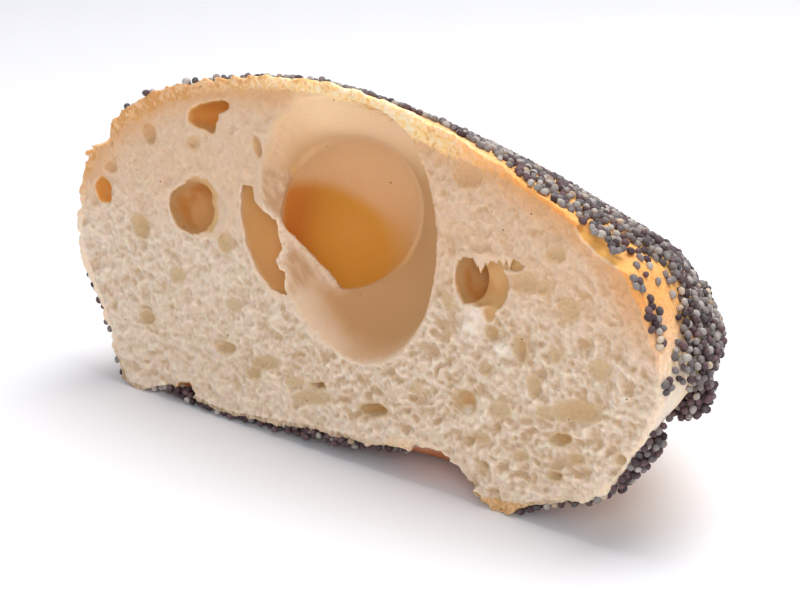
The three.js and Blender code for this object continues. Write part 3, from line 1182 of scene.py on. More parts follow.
@dataclass
class SeedCoat:
    """The poppy seeds of the crust, dropped one by one at true size.

    The tables bare_band and strays run along the cut's edge. Each pair gives the share of the way
    round, and there how far back the seeds begin or how densely single seeds lie before them.
    """

    form: RollForm
    place: Placement
    bread: Bread
    seed: int = 11
    length: float = 1.24
    width: float = 1.06
    height: float = 0.96
    bend: float = 0.28
    bend_shift: float = 0.05
    notch: float = 0.14
    notch_width: float = 0.3
    spacing: float = 0.96
    sink: float = 0.24
    above_floor: float = 0.55
    tries: int = 60_000
    drawn_back: Span = (0.004, 0.9999)
    area_percentile: float = 92
    heap_tries: int = 500
    heap_spread: Span = (0.003, 0.014)
    heap_back: Span = (0.005, 0.9)
    bare_band: tuple[Span, ...] = (
        (0.10, 6.0), (0.20, 1.6), (0.30, 1.2), (0.336, 1.6), (0.347, 4.2), (0.358, 6.5), (0.372, 3.2),
        (0.400, 1.2), (0.420, 2.8), (0.440, 8.5), (0.470, 9.5), (0.485, 8.8), (0.500, 5.8),
        (0.516, 2.6), (0.531, 2.8), (0.540, 6.5), (0.570, 8.0), (0.576, 0.5), (0.610, 0.3),
        (0.640, 1.0), (0.700, 1.5),
    )
    strays: tuple[Span, ...] = (
        (0.405, 0.5), (0.425, 0.45), (0.445, 0.45), (0.458, 0.16), (0.475, 0.05), (0.505, 0.03),
        (0.52, 0.0),
    )
    # How densely seeds lie on each part of the crust.
    full_cover: float = 0.97
    cover_begins: Span = (-0.4, 0.8)
    strays_begin: Span = (0.3, 1.0)
    left_cover: float = 0.03
    left_end: Span = (17.0, 30.0)
    left_slant: float = 0.4
    faces_down: float = -0.35
    under_cover: float = 0.6
    under_height: float = 0.7
    under_back: float = 5.0
    arch: Span = (62.0, 82.0)
    flank_cover: float = 0.4
    flank_slope: float = 0.1
    flank_back: float = 12
    flank_height: float = 8
    clear_spot: Point = (105.3, 2.5, 20.5)
    clear_radius: float = 3.0
    base_edge: Span = (0.845, 0.965)
    base_back: float = 2.4
    # How high seeds pile up.
    usual_pile: float = 0.22
    base_pile: float = 0.7
    drifts: tuple[SeedDrift, ...] = (
        SeedDrift((0.478, 0.492), (0.548, 0.560), (-0.2, 1.2), (24.0, 30.0), 0.75),
        SeedDrift((0.425, 0.445), (0.48, 0.49), (-3.0, 1.0), (13.0, 17.0), 0.5),
    )
    heaps: tuple[SeedHeap, ...] = tuple(
        SeedHeap(*numbers)
        for numbers in (
            (0.562, 0.30, 3.4, 3.0), (0.581, 0.09, 2.4, 1.7), (0.593, 0.06, 2.2, 1.4),
            (0.607, 0.04, 1.9, 1.0), (0.438, 0.045, 1.5, 0.3), (0.449, 0.030, 1.3, 0.3),
            (0.471, 0.012, 1.1, 0.4), (0.481, 0.045, 0.6, 0.1), (0.490, 0.035, 1.8, 0.3),
            (0.504, 0.025, 0.8, 0.5), (0.535, 0.015, 1.2, 0.6), (0.213, 0.030, 1.0, 0.5),
            (0.224, 0.050, 0.8, 0.3), (0.236, 0.020, 0.7, 0.3), (0.262, 0.025, 0.9, 0.3),
            (0.275, 0.020, 0.8, 0.3),
            *((turn, 0.025, 1.5, 1.1) for turn in (0.852, 0.862, 0.872)),
            *((turn, 0.025, 1.5, 1.1) for turn in (0.905, 0.917, 0.929, 0.941, 0.953)),
        )
    )
    # The share of dark seeds, and how seeds tilt and differ in size.
    dark_least: float = 0.12
    dark_patchy: float = 0.22
    dark_below: float = 0.46
    dark_height: Span = (14.0, 28.0)
    patch_waves: Point = (0.9, 0.8, 0.5)
    tilt: float = 0.35
    size_spread: float = 0.07
    size_limits: Span = (0.8, 1.15)

    def seed_form(self) -> tuple[Array, Array]:
        """Make one kidney-shaped seed.

        Returns:
            Its vertices and its triangles.
        """
        rings, sides = 4, 8
        vertices = [(0.0, 0.0, 0.5)]
        for ring in range(1, rings):
            polar = math.pi * ring / rings
            for side in range(sides):
                angle = 2 * math.pi * side / sides
                flat = 0.5 * math.sin(polar)
                vertices.append((flat * math.cos(angle), flat * math.sin(angle), 0.5 * math.cos(polar)))
        vertices.append((0.0, 0.0, -0.5))
        last = len(vertices) - 1
        faces = []
        for side in range(sides):
            after = (side + 1) % sides
            faces.append((0, 1 + side, 1 + after))
            start = 1 + (rings - 2) * sides
            faces.append((last, start + after, start + side))
            for ring in range(rings - 2):
                a = 1 + ring * sides + side
                b = 1 + ring * sides + after
                faces.append((a, a + sides, b))
                faces.append((b, a + sides, b + sides))
        shape = np.array(vertices) * (self.length, self.width, self.height)
        notch = np.exp(-((shape[:, 0] / self.notch_width) ** 2)) * (shape[:, 1] < 0)
        shape[:, 1] += self.bend * shape[:, 0] ** 2 - self.bend_shift + self.notch * notch
        return shape, np.array(faces)

    def bare(self, turn: Array) -> Array:
        """Give how far back from the cut the seeds begin, along the cut's edge."""
        return np.interp(turn, *np.array(self.bare_band).T)

    def cover(self, turn: Array, point: Array, normal: Array) -> Array:
        """Give how densely seeds lie at places of the crust, from 0 to 1.

        Args:
            turn: the places' shares of the way round.
            point: the places.
            normal: the crust's directions there.

        Returns:
            One number for each place.
        """
        x, y, z = point.T
        begins, complete = (self.bare(turn) + shift for shift in self.cover_begins)
        cover = self.full_cover * smooth_step(begins, complete, y)
        stray = np.interp(turn, *np.array(self.strays).T, left=0.0, right=0.0)
        cover = np.maximum(cover, stray * smooth_step(*self.strays_begin, y))
        right = smooth_step(*self.left_end, x + self.left_slant * y)
        cover *= self.left_cover + (1 - self.left_cover) * right
        beside_arch = (x < self.arch[0]) | (x > self.arch[1])
        strip = (z > self.under_height) & (y < self.under_back) & beside_arch
        cover = np.where(normal[:, 2] < self.faces_down, self.under_cover * strip, cover)
        cover = np.where(self.at_base(turn, y), self.full_cover, cover)
        flank = (normal[:, 2] < self.flank_slope) & (y > self.flank_back) & (z < self.flank_height)
        return np.where(flank, cover * self.flank_cover, cover)

    def at_base(self, turn: Array, y: Array) -> Array:
        """Say which places are at the base's front edge, where seeds are caught."""
        first, last = self.base_edge
        return (turn > first) & (turn < last) & (y < self.base_back)

    def pile(self, turn: Array, point: Array) -> Array:
        """Give how high seeds may pile up at places of the crust.

        Args:
            turn: the places' shares of the way round.
            point: the places.

        Returns:
            One height for each place.
        """
        y = point[:, 1]
        bare = self.bare(turn)
        high = self.usual_pile
        for drift in self.drifts:
            share = smooth_step(*drift.start, turn) * (1 - smooth_step(*drift.end, turn))
            begins, complete = (bare + shift for shift in drift.front)
            share = share * smooth_step(begins, complete, y) * (1 - smooth_step(*drift.back, y))
            high = high + drift.height * share
        high = high + self.base_pile * self.at_base(turn, y)
        for heap in self.heaps:
            away = np.linalg.norm(point - self.centre(heap), axis=1) / heap.radius
            high = np.maximum(high, heap.height * np.sqrt(np.maximum(0.0, 1 - away**2)))
        return high

    def centre(self, heap: SeedHeap) -> Array:
        """Give the middle of a heap's foot."""
        return self.form.at(np.array([heap.turn]), np.array([heap.back]))[0]

    def candidates(self, random: np.random.Generator) -> tuple[Array, Array, Array]:
        """Draw places for seeds to fall on, in the order they fall.

        Args:
            random: the random numbers.

        Returns:
            The places, the crust's directions and the greatest heights.
        """
        turn = random.uniform(0, 1, self.tries)
        back = random.uniform(*self.drawn_back, self.tries)
        normal, area = self.form.outward(turn, back)
        point = self.form.at(turn, back)
        usual = np.percentile(area, self.area_percentile)
        chance = area / usual * self.cover(turn, point, normal)
        chosen = random.uniform(0, 1, self.tries) < chance
        places, normals, turns = [point[chosen]], [normal[chosen]], [turn[chosen]]
        for heap in self.heaps:
            count = int(self.heap_tries * heap.radius**2)
            turn, back = (
                middle + random.normal(0, spread * heap.radius, count)
                for middle, spread in zip((heap.turn, heap.back), self.heap_spread)
            )
            back = np.clip(back, *self.heap_back)
            point = self.form.at(turn, back)
            near = np.linalg.norm(point - self.centre(heap), axis=1) < heap.radius
            places.append(point[near])
            normals.append(self.form.outward(turn, back)[0][near])
            turns.append(turn[near])
        point, normal, turn = (np.concatenate(parts) for parts in (places, normals, turns))
        kept = np.linalg.norm(point - np.array(self.clear_spot), axis=1) > self.clear_radius
        point = point[kept]
        return point, normal[kept], self.pile(turn[kept], point)

    def dropped(self, random: np.random.Generator) -> tuple[Array, Array]:
        """Let the seeds fall on the crust and on each other.

        Args:
            random: the random numbers.

        Returns:
            The places of the seeds and the crust's directions there.
        """
        point, normal, limit = self.candidates(random)
        lift = self.bread.lattice.sample(self.bread.body, point)
        point = point + normal * (self.sink - lift)[:, None]
        lying = Neighbours(self.spacing)
        places = []
        numbers = []
        falling = zip(point.tolist(), normal.tolist(), limit.tolist())
        for number, (start, up, high) in enumerate(falling):
            height = lying.rest(start, up, high)
            if height is None:
                continue
            spot = tuple(s + u * height for s, u in zip(start, up))
            if spot[2] > self.above_floor:
                lying.add(spot)
                places.append(spot)
                numbers.append(number)
        return np.array(places), normal[numbers]

    def kinds(self, point: Array, random: np.random.Generator) -> Array:
        """Choose each seed's kind: more dark ones low down, and in patches.

        Args:
            point: the places of the seeds.
            random: the random numbers.

        Returns:
            The number of each seed's kind.
        """
        kinds = random.choice(len(SeedKind), len(point), p=[kind.share for kind in SeedKind])
        x, y, z = point.T
        across, back, up = self.patch_waves
        patch = np.sin(x * across + z) * np.sin(y * back - z * up)
        low = 1 - smooth_step(*self.dark_height, z)
        dark = self.dark_least + self.dark_patchy * patch + self.dark_below * low
        plum = list(SeedKind).index(SeedKind.PLUM)
        return np.where(random.uniform(0, 1, len(point)) < dark, plum, kinds)

    def build(self) -> list[bpy.types.Object]:
        """Make one joined mesh of seeds for each kind.

        Returns:
            The seed objects.
        """
        random = np.random.default_rng(self.seed)
        point, normal = self.dropped(random)
        kinds = self.kinds(point, random)
        return [
            self.joined(kind, point[kinds == n], normal[kinds == n], random)
            for n, kind in enumerate(SeedKind)
        ]

    def joined(
        self, kind: SeedKind, point: Array, normal: Array, random: np.random.Generator
    ) -> bpy.types.Object:
        """Join all seeds of one kind into one mesh.

        Args:
            kind: the seeds' kind.
            point: the places of the seeds.
            normal: the crust's directions there.
            random: the random numbers.

        Returns:
            The object, with one random number for each seed as a mask.
        """
        shape, faces = self.seed_form()
        count = len(point)
        up = normal + random.normal(0, self.tilt, (count, 3))
        up /= np.linalg.norm(up, axis=1, keepdims=True)
        side = np.cross(up, random.normal(0, 1, (count, 3)))
        side /= np.linalg.norm(side, axis=1, keepdims=True)
        turned = np.stack([side, np.cross(up, side), up], axis=1)
        size = random.normal(1.0, self.size_spread, (count, 1, 1)).clip(*self.size_limits)
        vertices = np.einsum("vi,nij->nvj", shape, turned) * size + point[:, None, :]
        all_faces = faces[None] + (np.arange(count) * len(shape))[:, None, None]
        name = f"seeds_{kind.label}"
        metres = self.place.metres(vertices.reshape(-1, 3))
        made = mesh_object(name, metres, all_faces.reshape(-1, 3))
        add_mask(made.data, "shade", np.repeat(random.uniform(0, 1, count), len(shape)))
        LOG.info("%s: %d seeds", name, count)
        return made


class NodeSheet:
    """A small helper that places and joins shader nodes in one tree."""

    def __init__(self, tree: bpy.types.NodeTree) -> None:
        """Keep the tree."""
        self.tree = tree

    def add(self, kind: str, **inputs: object) -> bpy.types.Node:
        """Add a node and set or link its inputs.

        Args:
            kind: the node's type.
            **inputs: values or sockets by input name, with spaces as underscores, or by number as
                i0, i1 and so on; names that start with set_ are properties of the node.

        Returns:
            The node.
        """
        node = self.tree.nodes.new(kind)
        for name, value in inputs.items():
            if name.startswith("set_"):
                setattr(node, name[4:], value)
        for name, value in inputs.items():
            if name.startswith("set_"):
                continue
            key = int(name[1:]) if name[0] == "i" and name[1:].isdigit() else name.replace("_", " ")
            self.join(value, node.inputs[key])
        return node

    def join(self, value: object, socket: Socket) -> None:
        """Link a socket, or set a plain value."""
        if isinstance(value, Socket):
            self.tree.links.new(value, socket)
        elif isinstance(value, tuple) and len(value) == 3 and socket.type == "RGBA":
            socket.default_value = (*value, 1.0)
        else:
            socket.default_value = value

    def math(self, operation: str, first: object, second: object = 0.0) -> Socket:
        """Add a math node and give its output."""
        return self.add("ShaderNodeMath", set_operation=operation, i0=first, i1=second).outputs[0]

    def times(self, first: object, second: object) -> Socket:
        """Multiply two values."""
        return self.math("MULTIPLY", first, second)

    def plus(self, first: object, second: object, times: float = 1.0) -> Socket:
        """Add a number of times the second value to the first."""
        return self.math("ADD", first, self.times(second, times))

    def total(self, first: object, *parts: tuple[object, float]) -> Socket:
        """Add up values.

        Args:
            first: the value to start from.
            *parts: the other values, each with the number of times that it is added.

        Returns:
            The sum.
        """
        for value, times in parts:
            first = self.plus(first, value, times)
        return first

    def ramp(self, value: object, span: Span) -> Socket:
        """Map a span smoothly to 0 to 1, falling where its first limit is the greater one."""
        names = {"Value": value, "From_Min": span[0], "From_Max": span[1]}
        node = self.add("ShaderNodeMapRange", set_interpolation_type="SMOOTHSTEP", **names)
        return node.outputs["Result"]

    def band(self, value: object, spans: tuple[Span, Span]) -> Socket:
        """Give 1 within a band of values, with a rising and a falling end."""
        return self.times(self.ramp(value, spans[0]), self.ramp(value, spans[1]))

    def mix(self, share: object, first: object, second: object) -> Socket:
        """Mix two colours."""
        node = self.add("ShaderNodeMix", set_data_type="RGBA")
        self.join(share, node.inputs[0])
        self.join(first, node.inputs[6])
        self.join(second, node.inputs[7])
        return node.outputs[2]

    def fade(self, value: object, span: Span, first: object, second: object) -> Socket:
        """Change from one colour to another over a span of values."""
        return self.mix(self.ramp(value, span), first, second)

    def mask(self, name: str) -> Socket:
        """Read one of the mesh's masks."""
        return self.add("ShaderNodeAttribute", set_attribute_name=name).outputs["Fac"]

    def place(self) -> Socket:
        """Give the place on the object."""
        return self.add("ShaderNodeTexCoord").outputs["Object"]

    def bump(self, shader: bpy.types.Node, height: object, strength: float, distance: float) -> None:
        """Roughen a shader's surface by a height."""
        node = self.add("ShaderNodeBump", Height=height, Strength=strength, Distance=distance)
        self.join(node.outputs["Normal"], shader.inputs["Normal"])


def new_group(
    name: str, inputs: dict[str, str], outputs: tuple[str, ...]
) -> tuple[NodeSheet, bpy.types.NodeOutputs, bpy.types.NodeInputs]:
    """Make a node group with its sockets.

    Args:
        name: the group's name.
        inputs: the kinds of its inputs by name.
        outputs: the names of its outputs, which are all plain numbers.

    Returns:
        The sheet of its tree, the sockets that give its inputs and those that take its results.
    """
    tree = bpy.data.node_groups.new(name, "ShaderNodeTree")
    for socket, kind in inputs.items():
        tree.interface.new_socket(socket, in_out="INPUT", socket_type=f"NodeSocket{kind}")
    for socket in outputs:
        tree.interface.new_socket(socket, in_out="OUTPUT", socket_type="NodeSocketFloat")
    given, result = (tree.nodes.new(f"NodeGroup{end}") for end in ("Input", "Output"))
    return NodeSheet(tree), given.outputs, result.inputs


def mottle_group() -> bpy.types.NodeTree:
    """Make the shared group for fine, uneven grain: two sizes of noise, and winding threads.

    Returns:
        The group, with inputs Place and Scale and outputs Broad, Fine and Threads.
    """
    scales_and_details = ((1.0, 3.0), (6.0, 4.0), (3.2, 3.0))
    thread_width = 0.05
    inputs = {"Place": "Vector", "Scale": "Float"}
    sheet, given, result = new_group("mottle", inputs, ("Broad", "Fine", "Threads"))
    broad, fine, winding = (
        sheet.add(
            "ShaderNodeTexNoise",
            Vector=given["Place"],
            Scale=sheet.times(given["Scale"], finer),
            Detail=detail,
        ).outputs["Fac"]
        for finer, detail in scales_and_details
    )
    away = sheet.math("ABSOLUTE", sheet.math("SUBTRACT", winding, 0.5))
    sheet.join(broad, result["Broad"])
    sheet.join(fine, result["Fine"])
    sheet.join(sheet.ramp(away, (thread_width, 0.0)), result["Threads"])
    return sheet.tree


def speck_group() -> bpy.types.NodeTree:
    """Make the shared group for small dark specks, such as bran.

    Returns:
        The group, with inputs Place, Scale and Size and output Specks.
    """
    inputs = {"Place": "Vector", "Scale": "Float", "Size": "Float"}
    sheet, given, result = new_group("specks", inputs, ("Specks",))
    spots = sheet.add(
        "ShaderNodeTexVoronoi", Vector=given["Place"], Scale=given["Scale"], Randomness=1.0
    )
    near = sheet.math("LESS_THAN", spots.outputs["Distance"], given["Size"])
    sheet.join(near, result["Specks"])
    return sheet.tree


def new_material(
    name: str, plain: dict[str, object]
) -> tuple[bpy.types.Material, NodeSheet, bpy.types.Node]:
    """Make a material and set the plain values of its shader.

    Args:
        name: the material's name.
        plain: values by the names of the shader's sockets.

    Returns:
        The material, the sheet of its tree and its shader.
    """
    material = bpy.data.materials.new(name)
    material.use_nodes = True
    shader = material.node_tree.nodes["Principled BSDF"]
    for socket, value in plain.items():
        shader.inputs[socket].default_value = value
    return material, NodeSheet(material.node_tree), shader


@dataclass(frozen=True)
class Grain:
    """The place and the uneven grain that one material's colours share."""

    sheet: NodeSheet
    place: Socket
    across: Socket
    height: Socket
    broad: Socket
    fine: Socket
    threads: Socket

    @classmethod
    def of(cls, sheet: NodeSheet, mottle: bpy.types.NodeTree, scale: float) -> "Grain":
        """Place the grain group in a material."""
        place = sheet.place()
        group = sheet.add("ShaderNodeGroup", set_node_tree=mottle, Place=place, Scale=scale)
        axes = sheet.add("ShaderNodeSeparateXYZ", Vector=place)
        noises = (group.outputs[name] for name in ("Broad", "Fine", "Threads"))
        return cls(sheet, place, axes.outputs["X"], axes.outputs["Z"], *noises)


@dataclass(frozen=True)
class BreadFinish:
    """Porous crumb, smooth bubble walls and golden crust in one material.

    Spans across and up are in metres on the object, spans of depth in millimetres, and spans of
    patches are of noise. A span goes from where its share is 0 to where it is 1.
    """

    crumb_base: Colour = (0.71, 0.57, 0.44)
    # ridge: a painted highlight where the cut stands proud; the pore colour: painted shade down in the
    # pores
    ridge: Colour = (0.86, 0.74, 0.60)
    pore_shade: Colour = (0.56, 0.39, 0.24)
    pocket: Colour = (0.60, 0.44, 0.27)
    # Deeper in a pocket: painted glow, warmer orange
    pocket_deep_glow: Colour = (0.57, 0.35, 0.155)
    tuft: Colour = (0.88, 0.79, 0.69)
    rim_edge: Colour = (0.71, 0.53, 0.38)
    # rim to wall: painted shade, darker and more orange deeper into the bubble
    rim: Colour = (0.64, 0.41, 0.245)
    wall: Colour = (0.55, 0.315, 0.145)
    # Painted light on the bowl's thin upper wall
    wall_top_painted_light: Colour = (0.86, 0.60, 0.36)
    # Painted light: the far bubble's wall is painted lighter than the bowl's
    deep: Colour = (0.80, 0.54, 0.30)
    # Painted glow of light through the bread, and a darker spot of painted shade
    amber: Colour = (0.70, 0.365, 0.068)
    ember: Colour = (0.65, 0.255, 0.05)
    film: Colour = (0.53, 0.32, 0.175)
    # Painted highlight along the film's streaks
    film_streak_highlight: Colour = (0.70, 0.50, 0.34)
    # Torn crumb, paler, with a painted highlight along the film's lit edge
    tear: Colour = (0.88, 0.77, 0.63)
    # Painted glow on the side bubble's wall
    aside: Colour = (0.80, 0.48, 0.19)
    # Small holes: painted glow and painted shade, saturated orange deeper in and brighter near the crust
    small: Colour = (0.60, 0.28, 0.08)
    small_light: Colour = (0.68, 0.40, 0.17)
    small_rim: Colour = (0.61, 0.375, 0.165)
    small_glow: Colour = (0.80, 0.41, 0.11)
    warm_crumb: Colour = (0.70, 0.40, 0.20)
    crust_left: Colour = (0.66, 0.33, 0.115)
    # Light gold chips, partly painted highlight
    crust_chip_and_highlight: Colour = (0.86, 0.58, 0.34)
    crust_top: Colour = (0.95, 0.65, 0.31)
    crust_right: Colour = (0.82, 0.39, 0.12)
    crust_toast: Colour = (0.68, 0.35, 0.12)
    crust_back: Colour = (0.74, 0.40, 0.15)
    # Cream flecks, partly painted highlight
    crust_cream_and_highlight: Colour = (0.97, 0.76, 0.53)
    crust_side: Colour = (0.84, 0.68, 0.52)
    crust_flank: Colour = (0.79, 0.55, 0.31)
    crust_edge: Colour = (0.62, 0.47, 0.33)
    crust_torn: Colour = (0.42, 0.29, 0.18)
    crust_corner: Colour = (0.80, 0.51, 0.25)
    crust_grit: Colour = (0.58, 0.35, 0.16)
    crust_base: Colour = (0.58, 0.18, 0.065)
    bran: Colour = (0.16, 0.08, 0.04)
    scatter: Colour = (1.0, 0.66, 0.40)
    # The surface, and the grain, specks and streaks laid over it.
    scatter_reach: float = 0.0005
    roughness: float = 0.7
    specular: float = 0.25
    grain_scale: float = 260.0
    bran_scale: float = 230.0
    bran_size: float = 0.035
    bran_share: float = 0.8
    bump: float = 0.7
    bump_height: float = 0.0006
    wall_smooths: float = -0.85
    streak_turn: float = 49.6
    streak_stretch: float = 7.0
    streak_scale: float = 1100.0
    streak_detail: float = 3.0
    # Where the crust begins, and what thins it.
    crust_depth: Span = (3.6, 2.8)
    broad_thins: float = 2.8
    fine_thins: float = 2.4
    upper_thins: float = -1.0
    left_thins: float = -0.7
    ridge_thins: float = -1.3
    right_end_thins: float = 0.7
    foot_thins: float = 0.5
    corner_thins: float = -1.6
    outermost_thins: float = -2.2
    upper: Span = (0.030, 0.044)
    left: Span = (-0.008, -0.026)
    ridge_across: tuple[Span, Span] = ((-0.012, 0.002), (0.028, 0.018))
    right_end: Span = (0.028, 0.040)
    foot: Span = (0.009, 0.005)
    outermost: Span = (1.0, 0.5)
    corner_across: tuple[Span, Span] = ((0.020, 0.024), (0.035, 0.029))
    corner_up: Span = (0.0075, 0.0035)
    flap_across: tuple[Span, Span] = ((0.007, 0.009), (0.0145, 0.0125))
    flap_up: Span = (0.0070, 0.0058)
    # The crumb.
    thread_share: float = 0.15
    ridge_share: float = 0.7
    ridge_depth: Span = (0.25, -0.25)
    pore_grain: float = 0.7
    pore_depth: Span = (0.45, 1.3)
    pocket_depth: Span = (0.5, 2.0)
    warm_up: Span = (0.022, 0.036)
    warm_depth: Span = (8.0, 2.8)
    warm_grain: float = 2.6
    warm_least: float = 0.42
    warm_more: float = 0.58
    # The walls of the bubbles.
    rim_grain: Point = (1.6, 0.7, 1.0)
    rim_shift: float = -0.5
    left_rim_depth: Span = (5.2, 1.4)
    rim_depth: Span = (2.6, 1.1)
    rim_up: Span = (0.034, 0.042)
    wall_depth: Span = (0.6, 4.6)
    wall_grain: float = 0.8
    lit_across: Span = (-0.012, -0.004)
    lit_up: Span = (0.037, 0.047)
    lit_least: float = 0.5
    streaks: Span = (0.36, 0.80)
    tear_patches: Span = (0.15, 0.55)
    tear_share: float = 0.6
    aside_depth: Span = (0.1, 0.9)
    small_patches: Span = (0.4, 0.65)
    small_depth: Span = (1.2, 3.0)
    small_front: Span = (0.05, 0.6)
    small_glow_depth: Span = (9.0, 4.0)
    # The patches and sides of the crust.
    right_across: Span = (0.012, 0.032)
    middle_across: Span = (-0.026, -0.006)
    chip_patches: Span = (0.74, 1.0)
    chip_share: float = 0.7
    cream_patches: Span = (0.82, 0.96)
    toast_patches: Span = (0.78, 0.64)
    toast_middle: float = -0.3
    patch_grain: float = 0.7
    back_depth: Span = (0.3, 2.4)
    flank_patches: Span = (0.66, 1.02)
    flank_depth: Span = (4.0, 12.0)
    top_up: Span = (0.022, 0.035)
    torn_patches: Span = (0.72, 0.92)
    grit_patches: Span = (0.72, 0.95)
    below_depth: Span = (16.0, 24.0)
    cut_depth: Span = (2.2, 1.3)
    base_up: Span = (0.008, 0.002)

    def build(self, mottle: bpy.types.NodeTree, specks: bpy.types.NodeTree) -> bpy.types.Material:
        """Make the material.

        Args:
            mottle: the grain group.
            specks: the speck group.

        Returns:
            The material.
        """
        plain = {
            "Roughness": self.roughness,
            "Specular IOR Level": self.specular,
            "Subsurface Weight": 1.0,
            "Subsurface Radius": self.scatter,
            "Subsurface Scale": self.scatter_reach,
        }
        material, sheet, shader = new_material("bread", plain)
        grain = Grain.of(sheet, mottle, self.grain_scale)
        spots = {"Place": grain.place, "Scale": self.bran_scale, "Size": self.bran_size}
        bran = sheet.add("ShaderNodeGroup", set_node_tree=specks, **spots).outputs["Specks"]
        wall = sheet.mask("wall")
        colour = sheet.mix(wall, self.crumb(grain), self.walls(grain))
        colour = sheet.mix(self.browned(grain, wall), colour, self.crust(grain))
        colour = sheet.mix(sheet.times(bran, self.bran_share), colour, self.bran)
        sheet.join(colour, shader.inputs["Base Color"])
        rough = sheet.times(grain.fine, sheet.plus(1.0, wall, self.wall_smooths))
        sheet.bump(shader, rough, self.bump, self.bump_height)
        return material

    def browned(self, grain: Grain, wall: Socket) -> Socket:
        """Say where the crust is, from 0 to 1: an uneven depth, with deeper and thinner stretches.

        Args:
            grain: the material's grain.
            wall: the mask of the bubbles' walls.

        Returns:
            The crust's share.
        """
        sheet = grain.sheet
        under_crust = sheet.mask("under_crust")
        upper = sheet.ramp(grain.height, self.upper)
        ridge = sheet.times(sheet.band(grain.across, self.ridge_across), sheet.plus(upper, wall, -1.0))
        depth = sheet.total(
            under_crust,
            (grain.broad, self.broad_thins),
            (grain.fine, self.fine_thins),
            (upper, self.upper_thins),
            (sheet.times(upper, sheet.ramp(grain.across, self.left)), self.left_thins),
            (sheet.math("MAXIMUM", ridge, 0.0), self.ridge_thins),
            (sheet.ramp(grain.across, self.right_end), self.right_end_thins),
            (sheet.ramp(grain.height, self.foot), self.foot_thins),
            (self.corner(grain), self.corner_thins),
            (sheet.ramp(under_crust, self.outermost), self.outermost_thins),
        )
        return sheet.ramp(depth, self.crust_depth)

    def corner(self, grain: Grain) -> Socket:
        """Say where the golden, crumbly corner and the flap beside the arch are, from 0 to 1."""
        corner, flap = (
            grain.sheet.times(grain.sheet.band(grain.across, across), grain.sheet.ramp(grain.height, up))
            for across, up in ((self.corner_across, self.corner_up), (self.flap_across, self.flap_up))
        )
        return grain.sheet.math("MAXIMUM", corner, flap)

    def crumb(self, grain: Grain) -> Socket:
        """Colour the crumb: paler threads, a painted highlight where the cut stands proud, painted shade
        in the pores, white tufts, and warmer under the top crust.

        Args:
            grain: the material's grain.

        Returns:
            The colour.
        """
        sheet = grain.sheet
        hollow = sheet.mask("hollow")
        threads = sheet.times(grain.threads, self.thread_share)
        # Paler along the threads; painted highlight where the cut stands proud and painted shade deeper
        # in the pores.
        light = sheet.plus(threads, sheet.ramp(hollow, self.ridge_depth), self.ridge_share)
        crumb = sheet.mix(light, self.crumb_base, self.ridge)
        sunk = sheet.ramp(sheet.plus(hollow, grain.fine, self.pore_grain), self.pore_depth)
        crumb = sheet.mix(sunk, crumb, self.pore_shade)
        # Painted glow: deeper in a pocket the colour turns warmer orange.
        hole = sheet.fade(sheet.mask("inward"), self.pocket_depth, self.pocket, self.pocket_deep_glow)
        crumb = sheet.mix(sheet.mask("pocket"), crumb, hole)
        crumb = sheet.mix(sheet.mask("fluff"), crumb, self.tuft)
        warmth = sheet.plus(sheet.mask("under_crust"), grain.broad, self.warm_grain)
        warmth = sheet.ramp(warmth, self.warm_depth)
        warmth = sheet.plus(sheet.times(warmth, self.warm_more), self.warm_least)
        warmth = sheet.times(warmth, sheet.ramp(grain.height, self.warm_up))
        return sheet.mix(warmth, crumb, self.warm_crumb)

    def streaked(self, grain: Grain) -> Socket:
        """Lay streaky noise along the torn film."""
        turn = (0.0, math.radians(self.streak_turn), 0.0)
        fit = {"Rotation": turn, "Scale": (self.streak_stretch, 1.0, 1.0)}
        turned = grain.sheet.add(
            "ShaderNodeMapping", Vector=grain.place, set_vector_type="TEXTURE", **fit
        )
        spread = {"Scale": self.streak_scale, "Detail": self.streak_detail}
        spread["Vector"] = turned.outputs["Vector"]
        return grain.sheet.add("ShaderNodeTexNoise", **spread).outputs["Fac"]

    def walls(self, grain: Grain) -> Socket:
        """Colour the bubbles' walls: paler at the rim, painted shade deeper in, and painted glow where
        light comes through.

        Args:
            grain: the material's grain.

        Returns:
            The colour.
        """
        sheet = grain.sheet
        inward = sheet.mask("inward")
        streak = self.streaked(grain)
        noises = zip((grain.broad, grain.fine, streak), self.rim_grain)
        uneven = sheet.total(inward, *noises, (self.rim_shift, 1.0))
        edge = sheet.times(sheet.ramp(uneven, self.left_rim_depth), sheet.mask("left_rim"))
        edge = sheet.math("MAXIMUM", edge, sheet.ramp(uneven, self.rim_depth))
        # Painted shade: the walls darken and turn more orange deeper in.
        depth = sheet.plus(inward, grain.broad, self.wall_grain)
        wall = sheet.fade(depth, self.wall_depth, self.rim, self.wall)
        rim = sheet.fade(grain.height, self.rim_up, self.rim_edge, self.rim)
        colour = sheet.mix(edge, wall, rim)
        # Painted light: the bowl's upper wall is painted lighter high up.
        lit = sheet.plus(self.lit_least, sheet.ramp(grain.across, self.lit_across), 1 - self.lit_least)
        lit = sheet.times(lit, sheet.ramp(grain.height, self.lit_up))
        # Paler along the film's torn edges: torn crumb, and a painted highlight on its lit edge.
        torn = sheet.times(sheet.mask("torn"), sheet.ramp(grain.fine, self.tear_patches))
        # Painted highlight: paler streaks along the film.
        flaky = sheet.fade(streak, self.streaks, self.film, self.film_streak_highlight)
        # Painted glow: the side bubble's wall in bright orange.
        beside = sheet.times(sheet.mask("aside"), sheet.ramp(inward, self.aside_depth))
